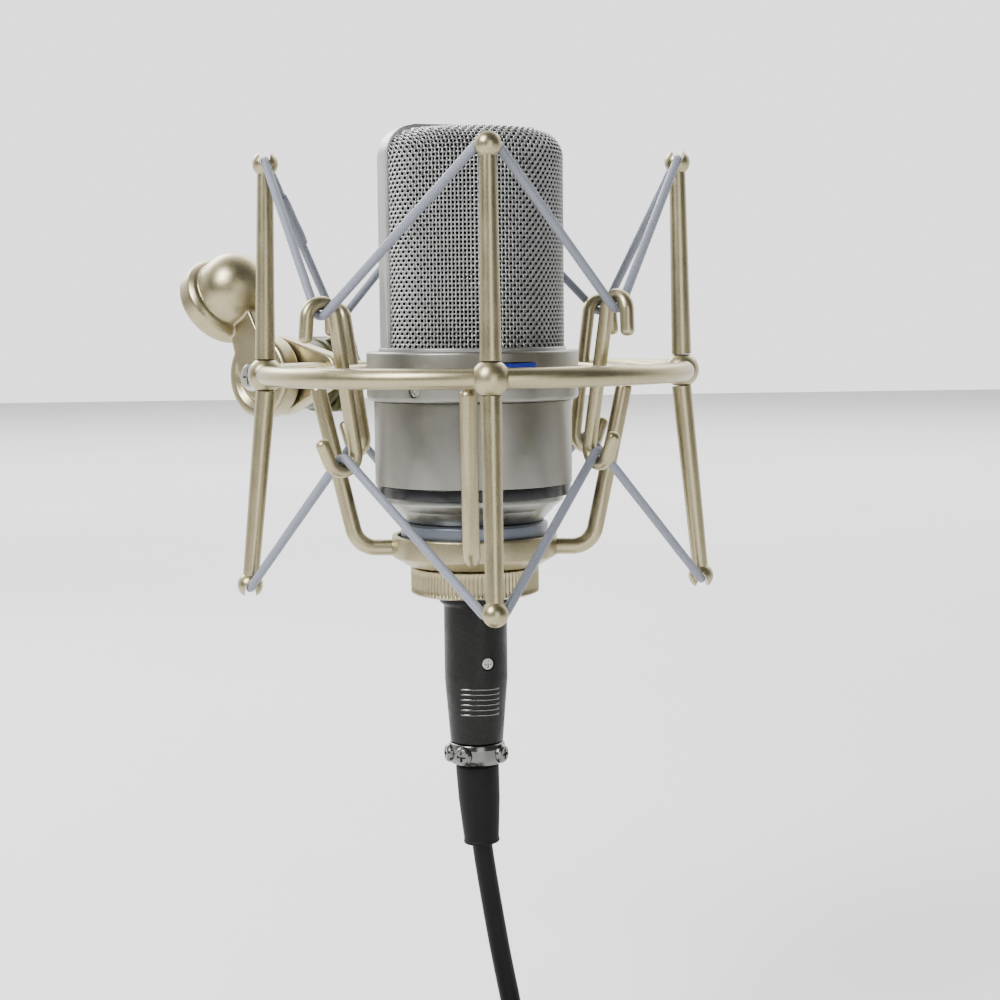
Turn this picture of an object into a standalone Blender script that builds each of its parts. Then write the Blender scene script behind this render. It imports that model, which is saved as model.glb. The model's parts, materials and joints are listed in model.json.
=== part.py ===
"""Large-diaphragm condenser microphone in a spider shock mount, with its stand swivel and XLR lead.

Metres, +Z up. The origin is the centre of the stand socket's mouth, where a 5/8 inch stand thread
enters. The outer ring, the cradle and the microphone share an upright axis beside it.
"""
import math

import bmesh
import bpy
from mathutils import Matrix, Vector

GAP = 0.0003  # clearance between neighbouring pieces
MERGE = 0.00001  # merge distance of every modifier that merges

# Outer frame: a ring with four upright posts, one rod up and one rod down from each joint ball
RING_RADIUS = 0.0656
RING_TUBE = 0.0030
JOINT_BALL = 0.00555
JOINT_FLAT = 0.0049  # height of the flats that the rods stand on
ROD_BASE_RADIUS = 0.0031
ROD_END_RADIUS = 0.00245
TIP_BALL = 0.0040
UPPER_TIP = (0.0643, 0.0651)  # radius and height of an upper tip ball
LOWER_TIP = (0.0718, -0.0659)
SLOT_WIDTH = 0.0033

# Elastic bands
BAND_RADIUS = 0.00135
BAND_ABOVE_TIP = 0.0010  # the band lies this far beyond the centre of a tip ball
BAND_TIP_BEND = 0.0042  # bend radius over a tip ball
BAND_HOOK_BEND = 0.0032
SLEEVE_LENGTH = 0.0200
SLEEVE_RADIUS = 0.0021

# Cradle
CRADLE_OFFSET = (-0.00085, 0.00007)  # the suspended cradle settles a little off the ring's centre
CRADLE_YAW = math.radians(-5.3)
MIC_YAW = math.radians(17.5)
CRADLE_RING_RADIUS = 0.0480
CRADLE_RING_WIRE = 0.0022
CRADLE_RING_SHIFT = -0.0006  # along X: the welded ring sits a little off the cup's axis
LEG_WIRE = 0.0026
LEG_TOP = (0.0481, -0.0052)
LEG_FOOT = (0.0371, -0.0552)
LEG_BEND = 0.0075
HOOK_WIRE = 0.0021
HOOK_ARCH = 0.0046
HOOK_TURN = math.radians(166)
HOOK_TIP_UP = 0.0026
# azimuth, radius at the ring's height, lean, where the two arches start, their twist, drop of the upper tip
HOOKS = {
    "back_right": (47.0, 0.05225, 0.180, 0.0189, -0.0209, -14.0, 0.0062),
    "back_left": (139.7, 0.0531, 0.205, 0.0172, -0.0213, -11.0, 0.0040),
    "front_left": (226.0, 0.05315, 0.181, 0.0180, -0.0224, -11.5, 0.0062),
    "front_right": (317.0, 0.0523, 0.176, 0.0193, -0.0209, -10.0, 0.0062),
}
CUP_RADIUS = 0.0262
CUP_TOP = -0.0508
CUP_BOTTOM = -0.0605
SPIGOT_RADIUS = 0.0152  # threaded tube under the microphone that the lock nut grips

# Microphone
GRILLE_RADIUS = 0.0291
GRILLE_TOP = 0.0761
GRILLE_CROWN = 0.0008
GRILLE_CORNER = 0.0095
GRILLE_FRAME_HALF_WIDTH = 0.0039
MESH_WALL = 0.0011
COLLAR = (0.0333, 0.0066, -0.0084)  # radius, top, bottom
BODY = (0.0311, -0.0087, -0.0345)
BLACK_BAND = (0.0309, -0.0348, -0.0381)
BASE_TOP = -0.0384
SOCKET_BORE = 0.0122
CAPSULE_RADIUS = 0.0170
CAPSULE_HEIGHT = 0.0480

# Connector on the microphone
PIN_CIRCLE = 0.0035
PIN_RADIUS = 0.0012
PIN_HOLE = 0.0015
SHELL_TOP = -0.0701
SHELL_END = -0.1175
BOOT_TOP = -0.1247
BOOT_LENGTH = 0.0262
BOOT_LEAN = math.radians(2.6)
CONNECTOR_YAW = math.radians(10)

# Swivel
ARM_AZIMUTH = math.radians(135)
HINGE_REACH = 0.0890
HINGE_DROP = 0.0020
ARM_RADIUS = 0.0136
ARM_THICKNESS = 0.0060
EAR_RADIUS = 0.0142
EAR_THICKNESS = 0.0072
EAR_DISH = 0.0020
WASHER_THICKNESS = 0.0007
BOLT_RADIUS = 0.0029
SOCKET_RISE = 0.0300
SOCKET_REACH = 0.0133
SOCKET_TILT = math.radians(30)  # the socket's mouth points this far below the horizontal
DOME_RADIUS = 0.0124
FLANGE_RADIUS = 0.0152
SOCKET_LENGTH = 0.0126
THREAD_RADIUS = 0.0080
KNOB_RADIUS = 0.0134
KNOB_LOBE = 0.0013
FERRULE_RADIUS = 0.0125

# Lead
CABLE_RADIUS = 0.00325
COIL_PITCH = 0.0066  # the turns lie this far apart, beside and on each other
COIL_COLUMNS = 4
COIL_LAYERS = 3
COIL_MEAN_RADIUS = 0.0385
COIL_CENTRE = (-0.0358, -0.0474)
COIL_TOP = -0.2300
FLOOR = COIL_TOP - COIL_LAYERS * COIL_PITCH
CABLE_ROUTE = [  # from the boot down to the coil, then over its top and in to its innermost turn
    (0.0004, 0.0000, -0.1512),
    (0.0010, -0.0001, -0.1560),
    (0.0031, -0.0003, -0.1699),
    (0.0060, -0.0010, -0.1876),
    (0.0090, -0.0028, -0.2036),
    (0.0114, -0.0105, -0.2165),
    (0.0126, -0.0250, -0.2245),
    (0.0124, -0.0410, -0.22635),
    (0.0080, -0.0633, -0.22635),
    (-0.0089, -0.0794, -0.22635),
    (-0.0295, -0.0829, -0.22635),
    (-0.0440, -0.0779, -0.22635),
    (-0.0533, -0.0703, -0.22635),
]
TAIL_ROUTE = [  # from the outermost turn round the back of the coil to the plug, with heights over the floor
    (-0.0362, 0.00825, 0.0036),
    (-0.0280, 0.0130, 0.0036),
    (-0.0205, 0.0169, 0.0037),
    (-0.0052, 0.0209, 0.0042),
    (0.0108, 0.0166, 0.0058),
    (0.0225, 0.0049, 0.0081),
    (0.0267, -0.0060, 0.0095),
    (0.0268, -0.0111, 0.0097),
]

UP = Vector((0, 0, 1))
ARM_OUT = Vector((math.cos(ARM_AZIMUTH), math.sin(ARM_AZIMUTH), 0))
HINGE_AXIS = ARM_OUT.cross(UP)
HINGE = ARM_OUT * HINGE_REACH - UP * HINGE_DROP
EAR_FRONT = -ARM_THICKNESS / 2 - GAP - WASHER_THICKNESS - GAP - EAR_THICKNESS
NECK_THICKNESS = 0.0060
NECK_MIDDLE = EAR_FRONT + NECK_THICKNESS / 2


def finish(name, colour, roughness, metallic=0.0):
    """A material with one Principled shader."""
    material = bpy.data.materials.new(name)
    material.use_nodes = True
    shader = material.node_tree.nodes["Principled BSDF"]
    shader.inputs["Base Color"].default_value = (*colour, 1)
    shader.inputs["Roughness"].default_value = roughness
    shader.inputs["Metallic"].default_value = metallic
    material.diffuse_color = (*colour, 1)
    return material


class Workshop:
    """Adds pieces and cutters to their collections, each under an empty."""

    def __init__(self):
        scene = bpy.context.scene.collection
        self.parts = bpy.data.collections.new("condenser_microphone")
        self.cutters = bpy.data.collections.new("cutters")
        scene.children.link(self.parts)
        scene.children.link(self.cutters)
        self.finishes = {}

    def empty(self, name, location=(0, 0, 0), parent=None, rotation=None):
        holder = bpy.data.objects.new(name, None)
        self.parts.objects.link(holder)
        holder.parent = parent
        turn = rotation.to_4x4() if rotation else Matrix()
        holder.matrix_local = Matrix.Translation(location) @ turn
        holder.empty_display_size = 0.01
        return holder

    def place(self, name, data, parent, matrix=None, finish_name=None):
        """Links a mesh or curve as a piece, or as a cutter if it has no finish."""
        piece = bpy.data.objects.new(name, data)
        group = self.parts if finish_name else self.cutters
        group.objects.link(piece)
        piece.parent = parent
        piece.matrix_local = matrix or Matrix()
        if finish_name:
            data.materials.append(self.finishes[finish_name])
        else:
            piece.hide_render = True
            piece.display_type = "WIRE"
        return piece

    def turned(self, name, profile, parent, finish_name=None, matrix=None, steps=24, ring=False):
        """A profile of (radius, height) points, outer side first from the top, turned about Z."""
        mesh = bpy.data.meshes.new(name)
        form = bmesh.new()
        points = [form.verts.new((r, 0, z)) for r, z in profile]
        for a, b in zip(points, points[1:]):
            form.edges.new((a, b))
        if ring:
            form.edges.new((points[-1], points[0]))
        form.to_mesh(mesh)
        form.free()
        piece = self.place(name, mesh, parent, matrix, finish_name)
        screw = piece.modifiers.new("turn", "SCREW")
        screw.steps = screw.render_steps = steps
        screw.use_merge_vertices = True
        screw.merge_threshold = MERGE
        return piece

    def tube(self, name, points, radius, parent, finish_name=None, closed=False, sides=2):
        """A round wire through the points."""
        curve = bpy.data.curves.new(name, "CURVE")
        curve.dimensions = "3D"
        curve.bevel_depth = radius
        curve.bevel_resolution = sides
        curve.use_fill_caps = not closed
        spline = curve.splines.new("POLY")
        spline.points.add(len(points) - 1)
        for point, place in zip(spline.points, points):
            point.co = (*place, 1)
        spline.use_cyclic_u = closed
        return self.place(name, curve, parent, None, finish_name)

    def plate(self, name, outline, thickness, parent, finish_name=None, matrix=None, bevel=0.0):
        """A flat outline in XY with its thickness centred on Z."""
        curve = bpy.data.curves.new(name, "CURVE")
        curve.dimensions = "2D"
        curve.fill_mode = "BOTH"
        curve.extrude = thickness / 2 - bevel
        curve.bevel_depth = bevel
        curve.bevel_resolution = 1
        curve.offset = -bevel
        spline = curve.splines.new("POLY")
        spline.points.add(len(outline) - 1)
        for point, (x, y) in zip(spline.points, outline):
            point.co = (x, y, 0, 1)
        spline.use_cyclic_u = True
        return self.place(name, curve, parent, matrix, finish_name)

    def box(self, name, low, high, parent, finish_name=None, matrix=None):
        mesh = bpy.data.meshes.new(name)
        form = bmesh.new()
        bmesh.ops.create_cube(form, size=1)
        size = Vector(high) - Vector(low)
        middle = (Vector(high) + Vector(low)) / 2
        bmesh.ops.scale(form, vec=size, verts=form.verts)
        bmesh.ops.translate(form, vec=middle, verts=form.verts)
        form.to_mesh(mesh)
        form.free()
        return self.place(name, mesh, parent, matrix, finish_name)

    def to_mesh(self, piece):
        """The piece with its curve or modifiers made into a plain welded mesh."""
        bpy.context.view_layer.update()
        evaluated = piece.evaluated_get(bpy.context.evaluated_depsgraph_get())
        mesh = bpy.data.meshes.new_from_object(evaluated)
        form = bmesh.new()
        form.from_mesh(mesh)
        bmesh.ops.remove_doubles(form, verts=form.verts, dist=MERGE)
        form.to_mesh(mesh)
        form.free()
        name, parent, local = piece.name, piece.parent, piece.matrix_local.copy()
        group = self.parts if piece.name in self.parts.objects else self.cutters
        wire = group is self.cutters
        old = piece.data
        bpy.data.objects.remove(piece)
        if isinstance(old, bpy.types.Curve):
            bpy.data.curves.remove(old)
        made = bpy.data.objects.new(name, mesh)
        group.objects.link(made)
        made.parent = parent
        made.matrix_local = local
        if wire:
            made.hide_render = True
            made.display_type = "WIRE"
        return made

    def combine(self, piece, others, operation="DIFFERENCE"):
        """Cuts or joins the others and keeps the result as the piece's mesh."""
        for other in others:
            step = piece.modifiers.new(operation.lower(), "BOOLEAN")
            step.operation = operation
            step.object = other
            step.solver = "EXACT"
        return self.to_mesh(piece)


def arc(centre, radius, start, end, count):
    """Points of an arc in a plane, with angles in radians."""
    angles = [start + (end - start) * i / count for i in range(count + 1)]
    return [(centre[0] + radius * math.cos(a), centre[1] + radius * math.sin(a)) for a in angles]


def along(start, end):
    """A frame at start whose Z runs towards end."""
    direction = Vector(end) - Vector(start)
    return Matrix.Translation(start) @ direction.to_track_quat("Z", "Y").to_matrix().to_4x4()


def polar(radius, angle, height=0.0):
    return Vector((radius * math.cos(angle), radius * math.sin(angle), height))


def smooth(route, spacing):
    """Evenly spaced points on a Catmull-Rom curve through the route."""
    points = [Vector(p) for p in route]
    padded = [2 * points[0] - points[1], *points, 2 * points[-1] - points[-2]]
    fine = []
    for a, b, c, d in zip(padded, padded[1:], padded[2:], padded[3:]):
        for i in range(20):
            t = i / 20
            fine.append(
                (2 * b + (c - a) * t + (2 * a - 5 * b + 4 * c - d) * t**2
                 + (3 * b - a - 3 * c + d) * t**3) / 2
            )
    fine.append(points[-1])
    length = sum((b - a).length for a, b in zip(fine, fine[1:]))
    step = length / max(round(length / spacing), 1)
    even, travelled = [fine[0]], 0.0
    for a, b in zip(fine, fine[1:]):
        travelled += (b - a).length
        if travelled >= step - MERGE:
            even.append(b)
            travelled = 0.0
    if (even[-1] - fine[-1]).length > step / 2:
        even.append(fine[-1])
    else:
        even[-1] = fine[-1]
    return even


def make_finishes(shop):
    looks = {
        "champagne": ((0.52, 0.47, 0.34), 0.35, 1.0),
        "nickel": ((0.36, 0.36, 0.34), 0.35, 1.0),
        "mesh": ((0.30, 0.30, 0.30), 0.40, 1.0),
        "gloss_black": ((0.01, 0.01, 0.01), 0.15, 0.0),
        "band": ((0.36, 0.39, 0.46), 0.70, 0.0),
        "badge": ((0.03, 0.06, 0.30), 0.25, 0.0),
        "black_shell": ((0.02, 0.02, 0.02), 0.45, 0.3),
        "chrome": ((0.60, 0.60, 0.60), 0.15, 1.0),
        "rubber": ((0.015, 0.015, 0.015), 0.80, 0.0),
        "cable": ((0.012, 0.012, 0.012), 0.60, 0.0),
        "knob": ((0.06, 0.06, 0.03), 0.45, 0.6),
        "steel": ((0.45, 0.45, 0.45), 0.30, 1.0),
        "gold": ((0.80, 0.55, 0.20), 0.25, 1.0),
        "brass": ((0.60, 0.45, 0.20), 0.30, 1.0),
        "board": ((0.02, 0.18, 0.08), 0.50, 0.0),
        "plastic": ((0.05, 0.05, 0.05), 0.50, 0.0),
        "fibre": ((0.08, 0.07, 0.06), 0.80, 0.0),
    }
    for name, (colour, roughness, metallic) in looks.items():
        shop.finishes[name] = finish(name, colour, roughness, metallic)


def band_points(tip, sign, hooks):
    """A closed zigzag loop between the tip balls and the hooks. sign is +1 for the upper loop."""
    cradle = Matrix.Translation((*CRADLE_OFFSET, 0)) @ Matrix.Rotation(CRADLE_YAW, 4, "Z")
    tips = [polar(tip[0], i * math.pi / 2, tip[1] + sign * BAND_ABOVE_TIP) for i in range(4)]
    seats = [cradle @ hook.band_seat(sign) for hook in hooks]
    points = []
    for i in range(4):
        points += bend(seats[i - 1], tips[i], seats[i], BAND_TIP_BEND)
        points += bend(tips[i], seats[i], tips[(i + 1) % 4], BAND_HOOK_BEND)
    return points


def bend(before, corner, after, radius):
    """Five points that round a corner, touching it at the middle."""
    arrive = (corner - before).normalized()
    leave = (after - corner).normalized()
    inward = (leave - arrive).normalized()
    half = arrive.angle(leave) / 2
    centre = corner + inward * radius
    along_corner = (arrive + leave).normalized()
    points = []
    for i in range(-2, 3):
        a = half * i / 2
        points.append(centre - inward * radius * math.cos(a) + along_corner * radius * math.sin(a))
    return points


class Hook:
    """A double hook of bent wire: a leaning upright with an outward arch at each end."""

    def __init__(self, azimuth, radius, lean, top, bottom, twist, tip_down):
        angle = math.radians(azimuth)
        self.way = polar(lean, angle, 1).normalized()
        self.middle = polar(radius, angle)
        facing = polar(1, angle + math.radians(twist))
        self.out = (facing - self.way * facing.dot(self.way)).normalized()
        self.starts = {1: self.at(top), -1: self.at(bottom)}
        self.tip_down = tip_down

    def at(self, height):
        return self.middle + self.way * (height / self.way.z)

    def arch(self, sign, drop, count=7):
        """From the upright round an arch to its tip, which ends at a height drop from the arch's start."""
        start = self.starts[sign]
        points = []
        for i in range(count + 1):
            turn = HOOK_TURN * i / count
            offset = self.way * (sign * math.sin(turn)) + self.out * (1 - math.cos(turn))
            points.append(start + offset * HOOK_ARCH)
        onward = self.way * (sign * math.cos(HOOK_TURN)) + self.out * math.sin(HOOK_TURN)
        rest = start.z - sign * drop - points[-1].z
        points.append(points[-1] + onward * (rest / onward.z))
        return points

    def path(self):
        """From the upper tip to the lower tip."""
        return self.arch(1, self.tip_down)[::-1] + self.arch(-1, HOOK_TIP_UP)

    def band_seat(self, sign):
        """Where the middle of a band lies inside the arch, against the crown."""
        inside = HOOK_ARCH - HOOK_WIRE - BAND_RADIUS - 2 * GAP
        return self.starts[sign] + self.out * HOOK_ARCH + self.way * (sign * inside)


def leg_points(angle):
    """A cradle leg from the cup up to the tip under the cradle ring, at an angle round the axis."""
    foot = Vector(LEG_FOOT)
    top = Vector(LEG_TOP) + Vector((CRADLE_RING_SHIFT * math.cos(angle), 0))
    rise = math.atan2(top.y - foot.y, top.x - foot.x)
    cut = LEG_BEND * math.tan(rise / 2)
    centre = (foot.x - cut, foot.y + LEG_BEND)
    curve = arc(centre, LEG_BEND, -math.pi / 2, -math.pi / 2 + rise, 6)
    line = [(CUP_RADIUS + GAP, foot.y), *curve, tuple(top)]
    return [polar(r, angle, z) for r, z in line]


def coil_outline():
    """The section of the coiled lead: its turns lie side by side and on each other."""
    half_width = (COIL_COLUMNS - 1) / 2 * COIL_PITCH + CABLE_RADIUS
    inner = COIL_MEAN_RADIUS - half_width
    outer = COIL_MEAN_RADIUS + half_width
    cut = CABLE_RADIUS * 0.6
    return [
        (outer - cut, COIL_TOP), (outer, COIL_TOP - cut), (outer, FLOOR + cut), (outer - cut, FLOOR),
        (inner + cut, FLOOR), (inner, FLOOR + cut), (inner, COIL_TOP - cut), (inner + cut, COIL_TOP),
    ]


def rod_profile(length):
    """A tapered rod with a ball on its end, from the ball's pole down to the rod's foot."""
    neck = math.asin(ROD_END_RADIUS / TIP_BALL)
    ball = arc((0, length), TIP_BALL, math.pi / 2, -math.pi / 2 + neck, 6)
    ball[0] = (0, length + TIP_BALL)
    return [*ball, (ROD_BASE_RADIUS, 0), (0, 0)]


def make_outer_frame(shop, ring_centre):
    steps = 48
    section = arc((RING_RADIUS, 0), RING_TUBE, math.pi / 2, -3 * math.pi / 2, 8)[:-1]
    ring = shop.turned("outer_ring", section, ring_centre, "champagne", steps=steps, ring=True)
    start = math.acos(JOINT_FLAT / JOINT_BALL)
    ball = arc((0, 0), JOINT_BALL, math.pi / 2 - start, -math.pi / 2 + start, 5)
    profile = [(0, JOINT_FLAT), *ball, (0, -JOINT_FLAT)]
    balls = []
    for i in range(4):
        place = Matrix.Translation(polar(RING_RADIUS, i * math.pi / 2))
        balls.append(shop.turned(f"joint_ball_{i}", profile, ring_centre, None, place, steps=12))
    shop.combine(ring, balls, "UNION")

    upper_band, lower_band = make_bands(shop, ring_centre)
    sides = ["right", "back", "left", "front"]
    for level, tip, band in (("upper", UPPER_TIP, upper_band), ("lower", LOWER_TIP, lower_band)):
        sign = 1 if level == "upper" else -1
        for i, side in enumerate(sides):
            angle = i * math.pi / 2
            foot = polar(RING_RADIUS, angle, sign * (JOINT_FLAT + GAP))
            end = polar(tip[0], angle, tip[1])
            frame = along(foot, end)
            name = f"{level}_rod_{side}"
            rod = shop.turned(name, rod_profile((end - foot).length), ring_centre, "champagne", frame, 12)
            slot = shop.box(
                f"{name}_slot",
                (-TIP_BALL * 2, -SLOT_WIDTH / 2, BAND_ABOVE_TIP),
                (TIP_BALL * 2, SLOT_WIDTH / 2, TIP_BALL * 2),
                ring_centre,
                matrix=Matrix.Translation(end)
                @ Matrix.Rotation(angle + math.pi / 2, 4, "Z")
                @ Matrix.Rotation(0 if sign > 0 else math.pi, 4, "X"),
            )
            shop.combine(rod, [slot, band])


def make_bands(shop, ring_centre):
    """Makes the two elastic loops, and returns wider tubes along them that cut the tips' grooves."""
    hooks = [Hook(*HOOKS[corner]) for corner in HOOKS]
    clearance = []
    for level, tip, sign in (("upper", UPPER_TIP, 1), ("lower", LOWER_TIP, -1)):
        points = band_points(tip, sign, hooks)
        shop.tube(f"{level}_band", points, BAND_RADIUS, ring_centre, "band", closed=True)
        wide = shop.tube(f"{level}_groove", points, BAND_RADIUS + GAP, ring_centre, closed=True)
        clearance.append(shop.to_mesh(wide))
        if level == "upper":
            make_sleeve(shop, ring_centre, points)
    return clearance


def make_sleeve(shop, ring_centre, points):
    """The crimped sleeve that joins the upper band's ends, between the rear left hook and the left tip."""
    hook_end, tip_end = points[19], points[20]
    start = tip_end.lerp(hook_end, 0.19)
    bore = BAND_RADIUS + GAP
    profile = [
        (SLEEVE_RADIUS, SLEEVE_LENGTH), (SLEEVE_RADIUS, 0), (bore, 0), (bore, SLEEVE_LENGTH),
    ]
    shop.turned("band_sleeve", profile, ring_centre, "band", along(start, hook_end), 12, ring=True)


def make_swivel(shop, ring_centre):
    """The stand socket, the arm that is clamped on the ring, and the screw and knob between them."""
    turn = Matrix((ARM_OUT, UP, HINGE_AXIS)).transposed()
    hinge = shop.empty("swivel_hinge", HINGE, ring_centre, turn)
    make_arm(shop, ring_centre, hinge)
    make_socket(shop, hinge)

    washer_low = EAR_FRONT + EAR_THICKNESS + GAP
    washer_high = washer_low + WASHER_THICKNESS
    bore = BOLT_RADIUS + GAP
    washer = [(0.0122, washer_high), (0.0122, washer_low), (bore, washer_low), (bore, washer_high)]
    shop.turned("friction_washer", washer, hinge, "fibre", steps=24, ring=True)

    head_low = EAR_FRONT + EAR_DISH - GAP
    screw = [
        (0, 0.0240), (BOLT_RADIUS, 0.0240), (BOLT_RADIUS, head_low), (0.0050, head_low),
        (0.0050, head_low - 0.0040), (0.0038, head_low - 0.0056), (0, head_low - 0.0056),
    ]
    shop.turned("hinge_screw", screw, hinge, "steel", steps=16)

    hub_low = ARM_THICKNESS / 2 + GAP
    hub_high = 0.0180
    hub = [(FERRULE_RADIUS, hub_high), (FERRULE_RADIUS, hub_low), (bore, hub_low), (bore, hub_high)]
    shop.turned("knob_ferrule", hub, hinge, "knob", steps=24, ring=True)
    outline = []
    for i in range(36):
        angle = 2 * math.pi * i / 36
        radius = KNOB_RADIUS + KNOB_LOBE * math.cos(6 * angle)
        outline.append((radius * math.cos(angle), radius * math.sin(angle)))
    knob = shop.plate(
        "clamp_knob", outline, 0.0105, hinge, "knob", Matrix.Translation((0, 0, 0.02355)), bevel=0.0010
    )
    knob = shop.to_mesh(knob)
    blind = shop.turned(
        "knob_bore", [(0, 0.0245), (bore, 0.0245), (bore, 0.01), (0, 0.01)], hinge, steps=16
    )
    shop.combine(knob, [blind])


def make_arm(shop, ring_centre, hinge):
    ring_boss = (-(HINGE_REACH - RING_RADIUS), HINGE_DROP)
    outline = tangent_outline((0, 0), ARM_RADIUS, ring_boss, 0.0057)
    arm = shop.plate("swivel_arm", outline, ARM_THICKNESS, hinge, "champagne", bevel=0.0006)
    arm = shop.to_mesh(arm)
    tunnel = shop.turned(
        "ring_tunnel",
        arc((RING_RADIUS, 0), RING_TUBE + GAP, math.pi / 2, -3 * math.pi / 2, 8)[:-1],
        ring_centre, steps=48, ring=True,
    )
    shop.combine(arm, [bolt_hole(shop, "arm_bore", hinge), tunnel])


def bolt_hole(shop, name, hinge):
    radius = BOLT_RADIUS + GAP
    return shop.turned(name, [(0, 0.02), (radius, 0.02), (radius, -0.02), (0, -0.02)], hinge, steps=20)


def make_socket(shop, hinge):
    """The domed stand socket with its flange, neck and ear."""
    centre = Vector((SOCKET_REACH, SOCKET_RISE, NECK_MIDDLE))
    mouth_way = Vector((math.cos(SOCKET_TILT), -math.sin(SOCKET_TILT), 0))
    frame = along(centre, centre - mouth_way)
    mouth = -SOCKET_LENGTH
    profile = [
        (0, DOME_RADIUS), *arc((0, 0), DOME_RADIUS, math.pi / 2, 0, 6)[1:], (DOME_RADIUS, -0.0038),
        (FLANGE_RADIUS - 0.0010, -0.0046), (FLANGE_RADIUS, -0.0060), (FLANGE_RADIUS, mouth + 0.0014),
        (FLANGE_RADIUS - 0.0012, mouth), (0, mouth),
    ]
    socket = shop.turned("stand_socket", profile, hinge, "champagne", frame, steps=28)
    ear_back = EAR_FRONT + EAR_THICKNESS
    ear = shop.turned(
        "socket_ear",
        [(0, ear_back), (EAR_RADIUS, ear_back), (EAR_RADIUS, EAR_FRONT + 0.0010),
         (EAR_RADIUS - 0.0010, EAR_FRONT), (0, EAR_FRONT)],
        hinge, steps=32,
    )
    neck_outline = tangent_outline((0, 0), 0.0085, (SOCKET_REACH * 0.66, SOCKET_RISE * 0.66), 0.0060)
    place = Matrix.Translation((0, 0, NECK_MIDDLE))
    neck = shop.to_mesh(shop.plate("socket_neck", neck_outline, NECK_THICKNESS, hinge, matrix=place))
    socket = shop.combine(socket, [ear, neck], "UNION")
    thread = [(0, 0.0015), (THREAD_RADIUS, 0.0015), (THREAD_RADIUS, mouth - 0.002), (0, mouth - 0.002)]
    floor = EAR_FRONT + EAR_DISH
    dish = [(0, floor), (0.0084, floor), (0.0108, EAR_FRONT - 0.001), (0, EAR_FRONT - 0.001)]
    cuts = [
        shop.turned("thread_bore", thread, hinge, None, frame, steps=20),
        shop.turned("ear_dish", dish, hinge, steps=32),
        bolt_hole(shop, "ear_bore", hinge),
    ]
    shop.combine(socket, cuts)


def tangent_outline(big_centre, big_radius, small_centre, small_radius):
    """The outline around two circles and their common outer tangents."""
    big, small = Vector(big_centre), Vector(small_centre)
    line = small - big
    way = math.atan2(line.y, line.x)
    open_angle = math.acos((big_radius - small_radius) / line.length)
    far = arc(big, big_radius, way + open_angle, way + 2 * math.pi - open_angle, 18)
    near = arc(small, small_radius, way - open_angle, way + open_angle, 10)
    return far + near


def make_cradle(shop, cradle):
    profile = [
        (CUP_RADIUS, CUP_TOP), (CUP_RADIUS, CUP_BOTTOM + 0.0030), (0.0212, CUP_BOTTOM),
        (0.0159, CUP_BOTTOM), (0.0159, -0.0541), (0.0244, -0.0541), (0.0244, CUP_TOP),
    ]
    shop.turned("cradle_cup", profile, cradle, "champagne", steps=28, ring=True)
    section = arc((CRADLE_RING_RADIUS, 0), CRADLE_RING_WIRE, math.pi / 2, -3 * math.pi / 2, 8)[:-1]
    shift = Matrix.Translation((CRADLE_RING_SHIFT, 0, 0))
    shop.turned("cradle_ring", section, cradle, "champagne", shift, steps=40, ring=True)
    for i, side in enumerate(["right", "back", "left", "front"]):
        shop.tube(f"cradle_leg_{side}", leg_points(i * math.pi / 2), LEG_WIRE, cradle, "champagne")
    for corner, shape in HOOKS.items():
        shop.tube(f"hook_wire_{corner}", Hook(*shape).path(), HOOK_WIRE, cradle, "champagne")
    nut = [
        (0.0194, CUP_BOTTOM - GAP), (0.0202, CUP_BOTTOM - 0.0011), (0.0202, -0.0690),
        (0.0194, -0.0698), (SPIGOT_RADIUS + GAP, -0.0698), (SPIGOT_RADIUS + GAP, CUP_BOTTOM - GAP),
    ]
    shop.turned("lock_nut", nut, cradle, "champagne", steps=28, ring=True)


def grille_profile(inset):
    """The grille's outline from its crown down, moved inward by inset."""
    radius = GRILLE_RADIUS - inset
    top = GRILLE_TOP - inset
    corner = GRILLE_CORNER - inset
    flat = radius - corner
    curve = arc((flat, top - corner), corner, math.pi / 2, 0, 4)
    return [(0, top + GRILLE_CROWN), (flat * 0.55, top + GRILLE_CROWN * 0.6), *curve]


def make_grille(shop, mic):
    outer = grille_profile(0.0)
    right = [*outer[1:], (GRILLE_RADIUS, 0.0069)]
    inner = grille_profile(0.0018)
    inner_right = [*inner[1:], (GRILLE_RADIUS - 0.0018, 0.0069)]
    mirrored = [(-x, z) for x, z in reversed(right)]
    inner_mirrored = [(-x, z) for x, z in reversed(inner_right)]
    outline = [*mirrored, outer[0], *right, *reversed(inner_right), inner[0], *reversed(inner_mirrored)]
    upright = Matrix.Rotation(math.pi / 2, 4, "X")
    frame = shop.plate("grille_frame", outline, 2 * GRILLE_FRAME_HALF_WIDTH, mic, "nickel", upright)
    frame = shop.to_mesh(frame)
    foot = shop.turned(
        "grille_foot",
        [(0.0294, 0.0080), (0.0294, -0.0050), (0.0276, -0.0050), (0.0276, 0.0080)],
        mic, steps=40, ring=True,
    )
    shop.combine(frame, [foot], "UNION")

    skin = 0.0002  # the mesh lies just inside the frame's surface
    shell_outer = [*grille_profile(skin), (GRILLE_RADIUS - skin, 0.0083)]
    shell_inner = [*grille_profile(skin + MESH_WALL), (GRILLE_RADIUS - skin - MESH_WALL, 0.0083)]
    for side, sign in (("front", -1), ("back", 1)):
        profile = [*shell_outer, *reversed(shell_inner)]
        shell = shop.turned(f"grille_{side}", profile, mic, "mesh", steps=32)
        edge = sign * (GRILLE_FRAME_HALF_WIDTH + GAP)
        low = (-0.04, min(-sign * 0.04, edge), -0.01)
        high = (0.04, max(-sign * 0.04, edge), 0.1)
        shop.combine(shell, [shop.box(f"grille_{side}_cut", low, high, mic)])


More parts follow.
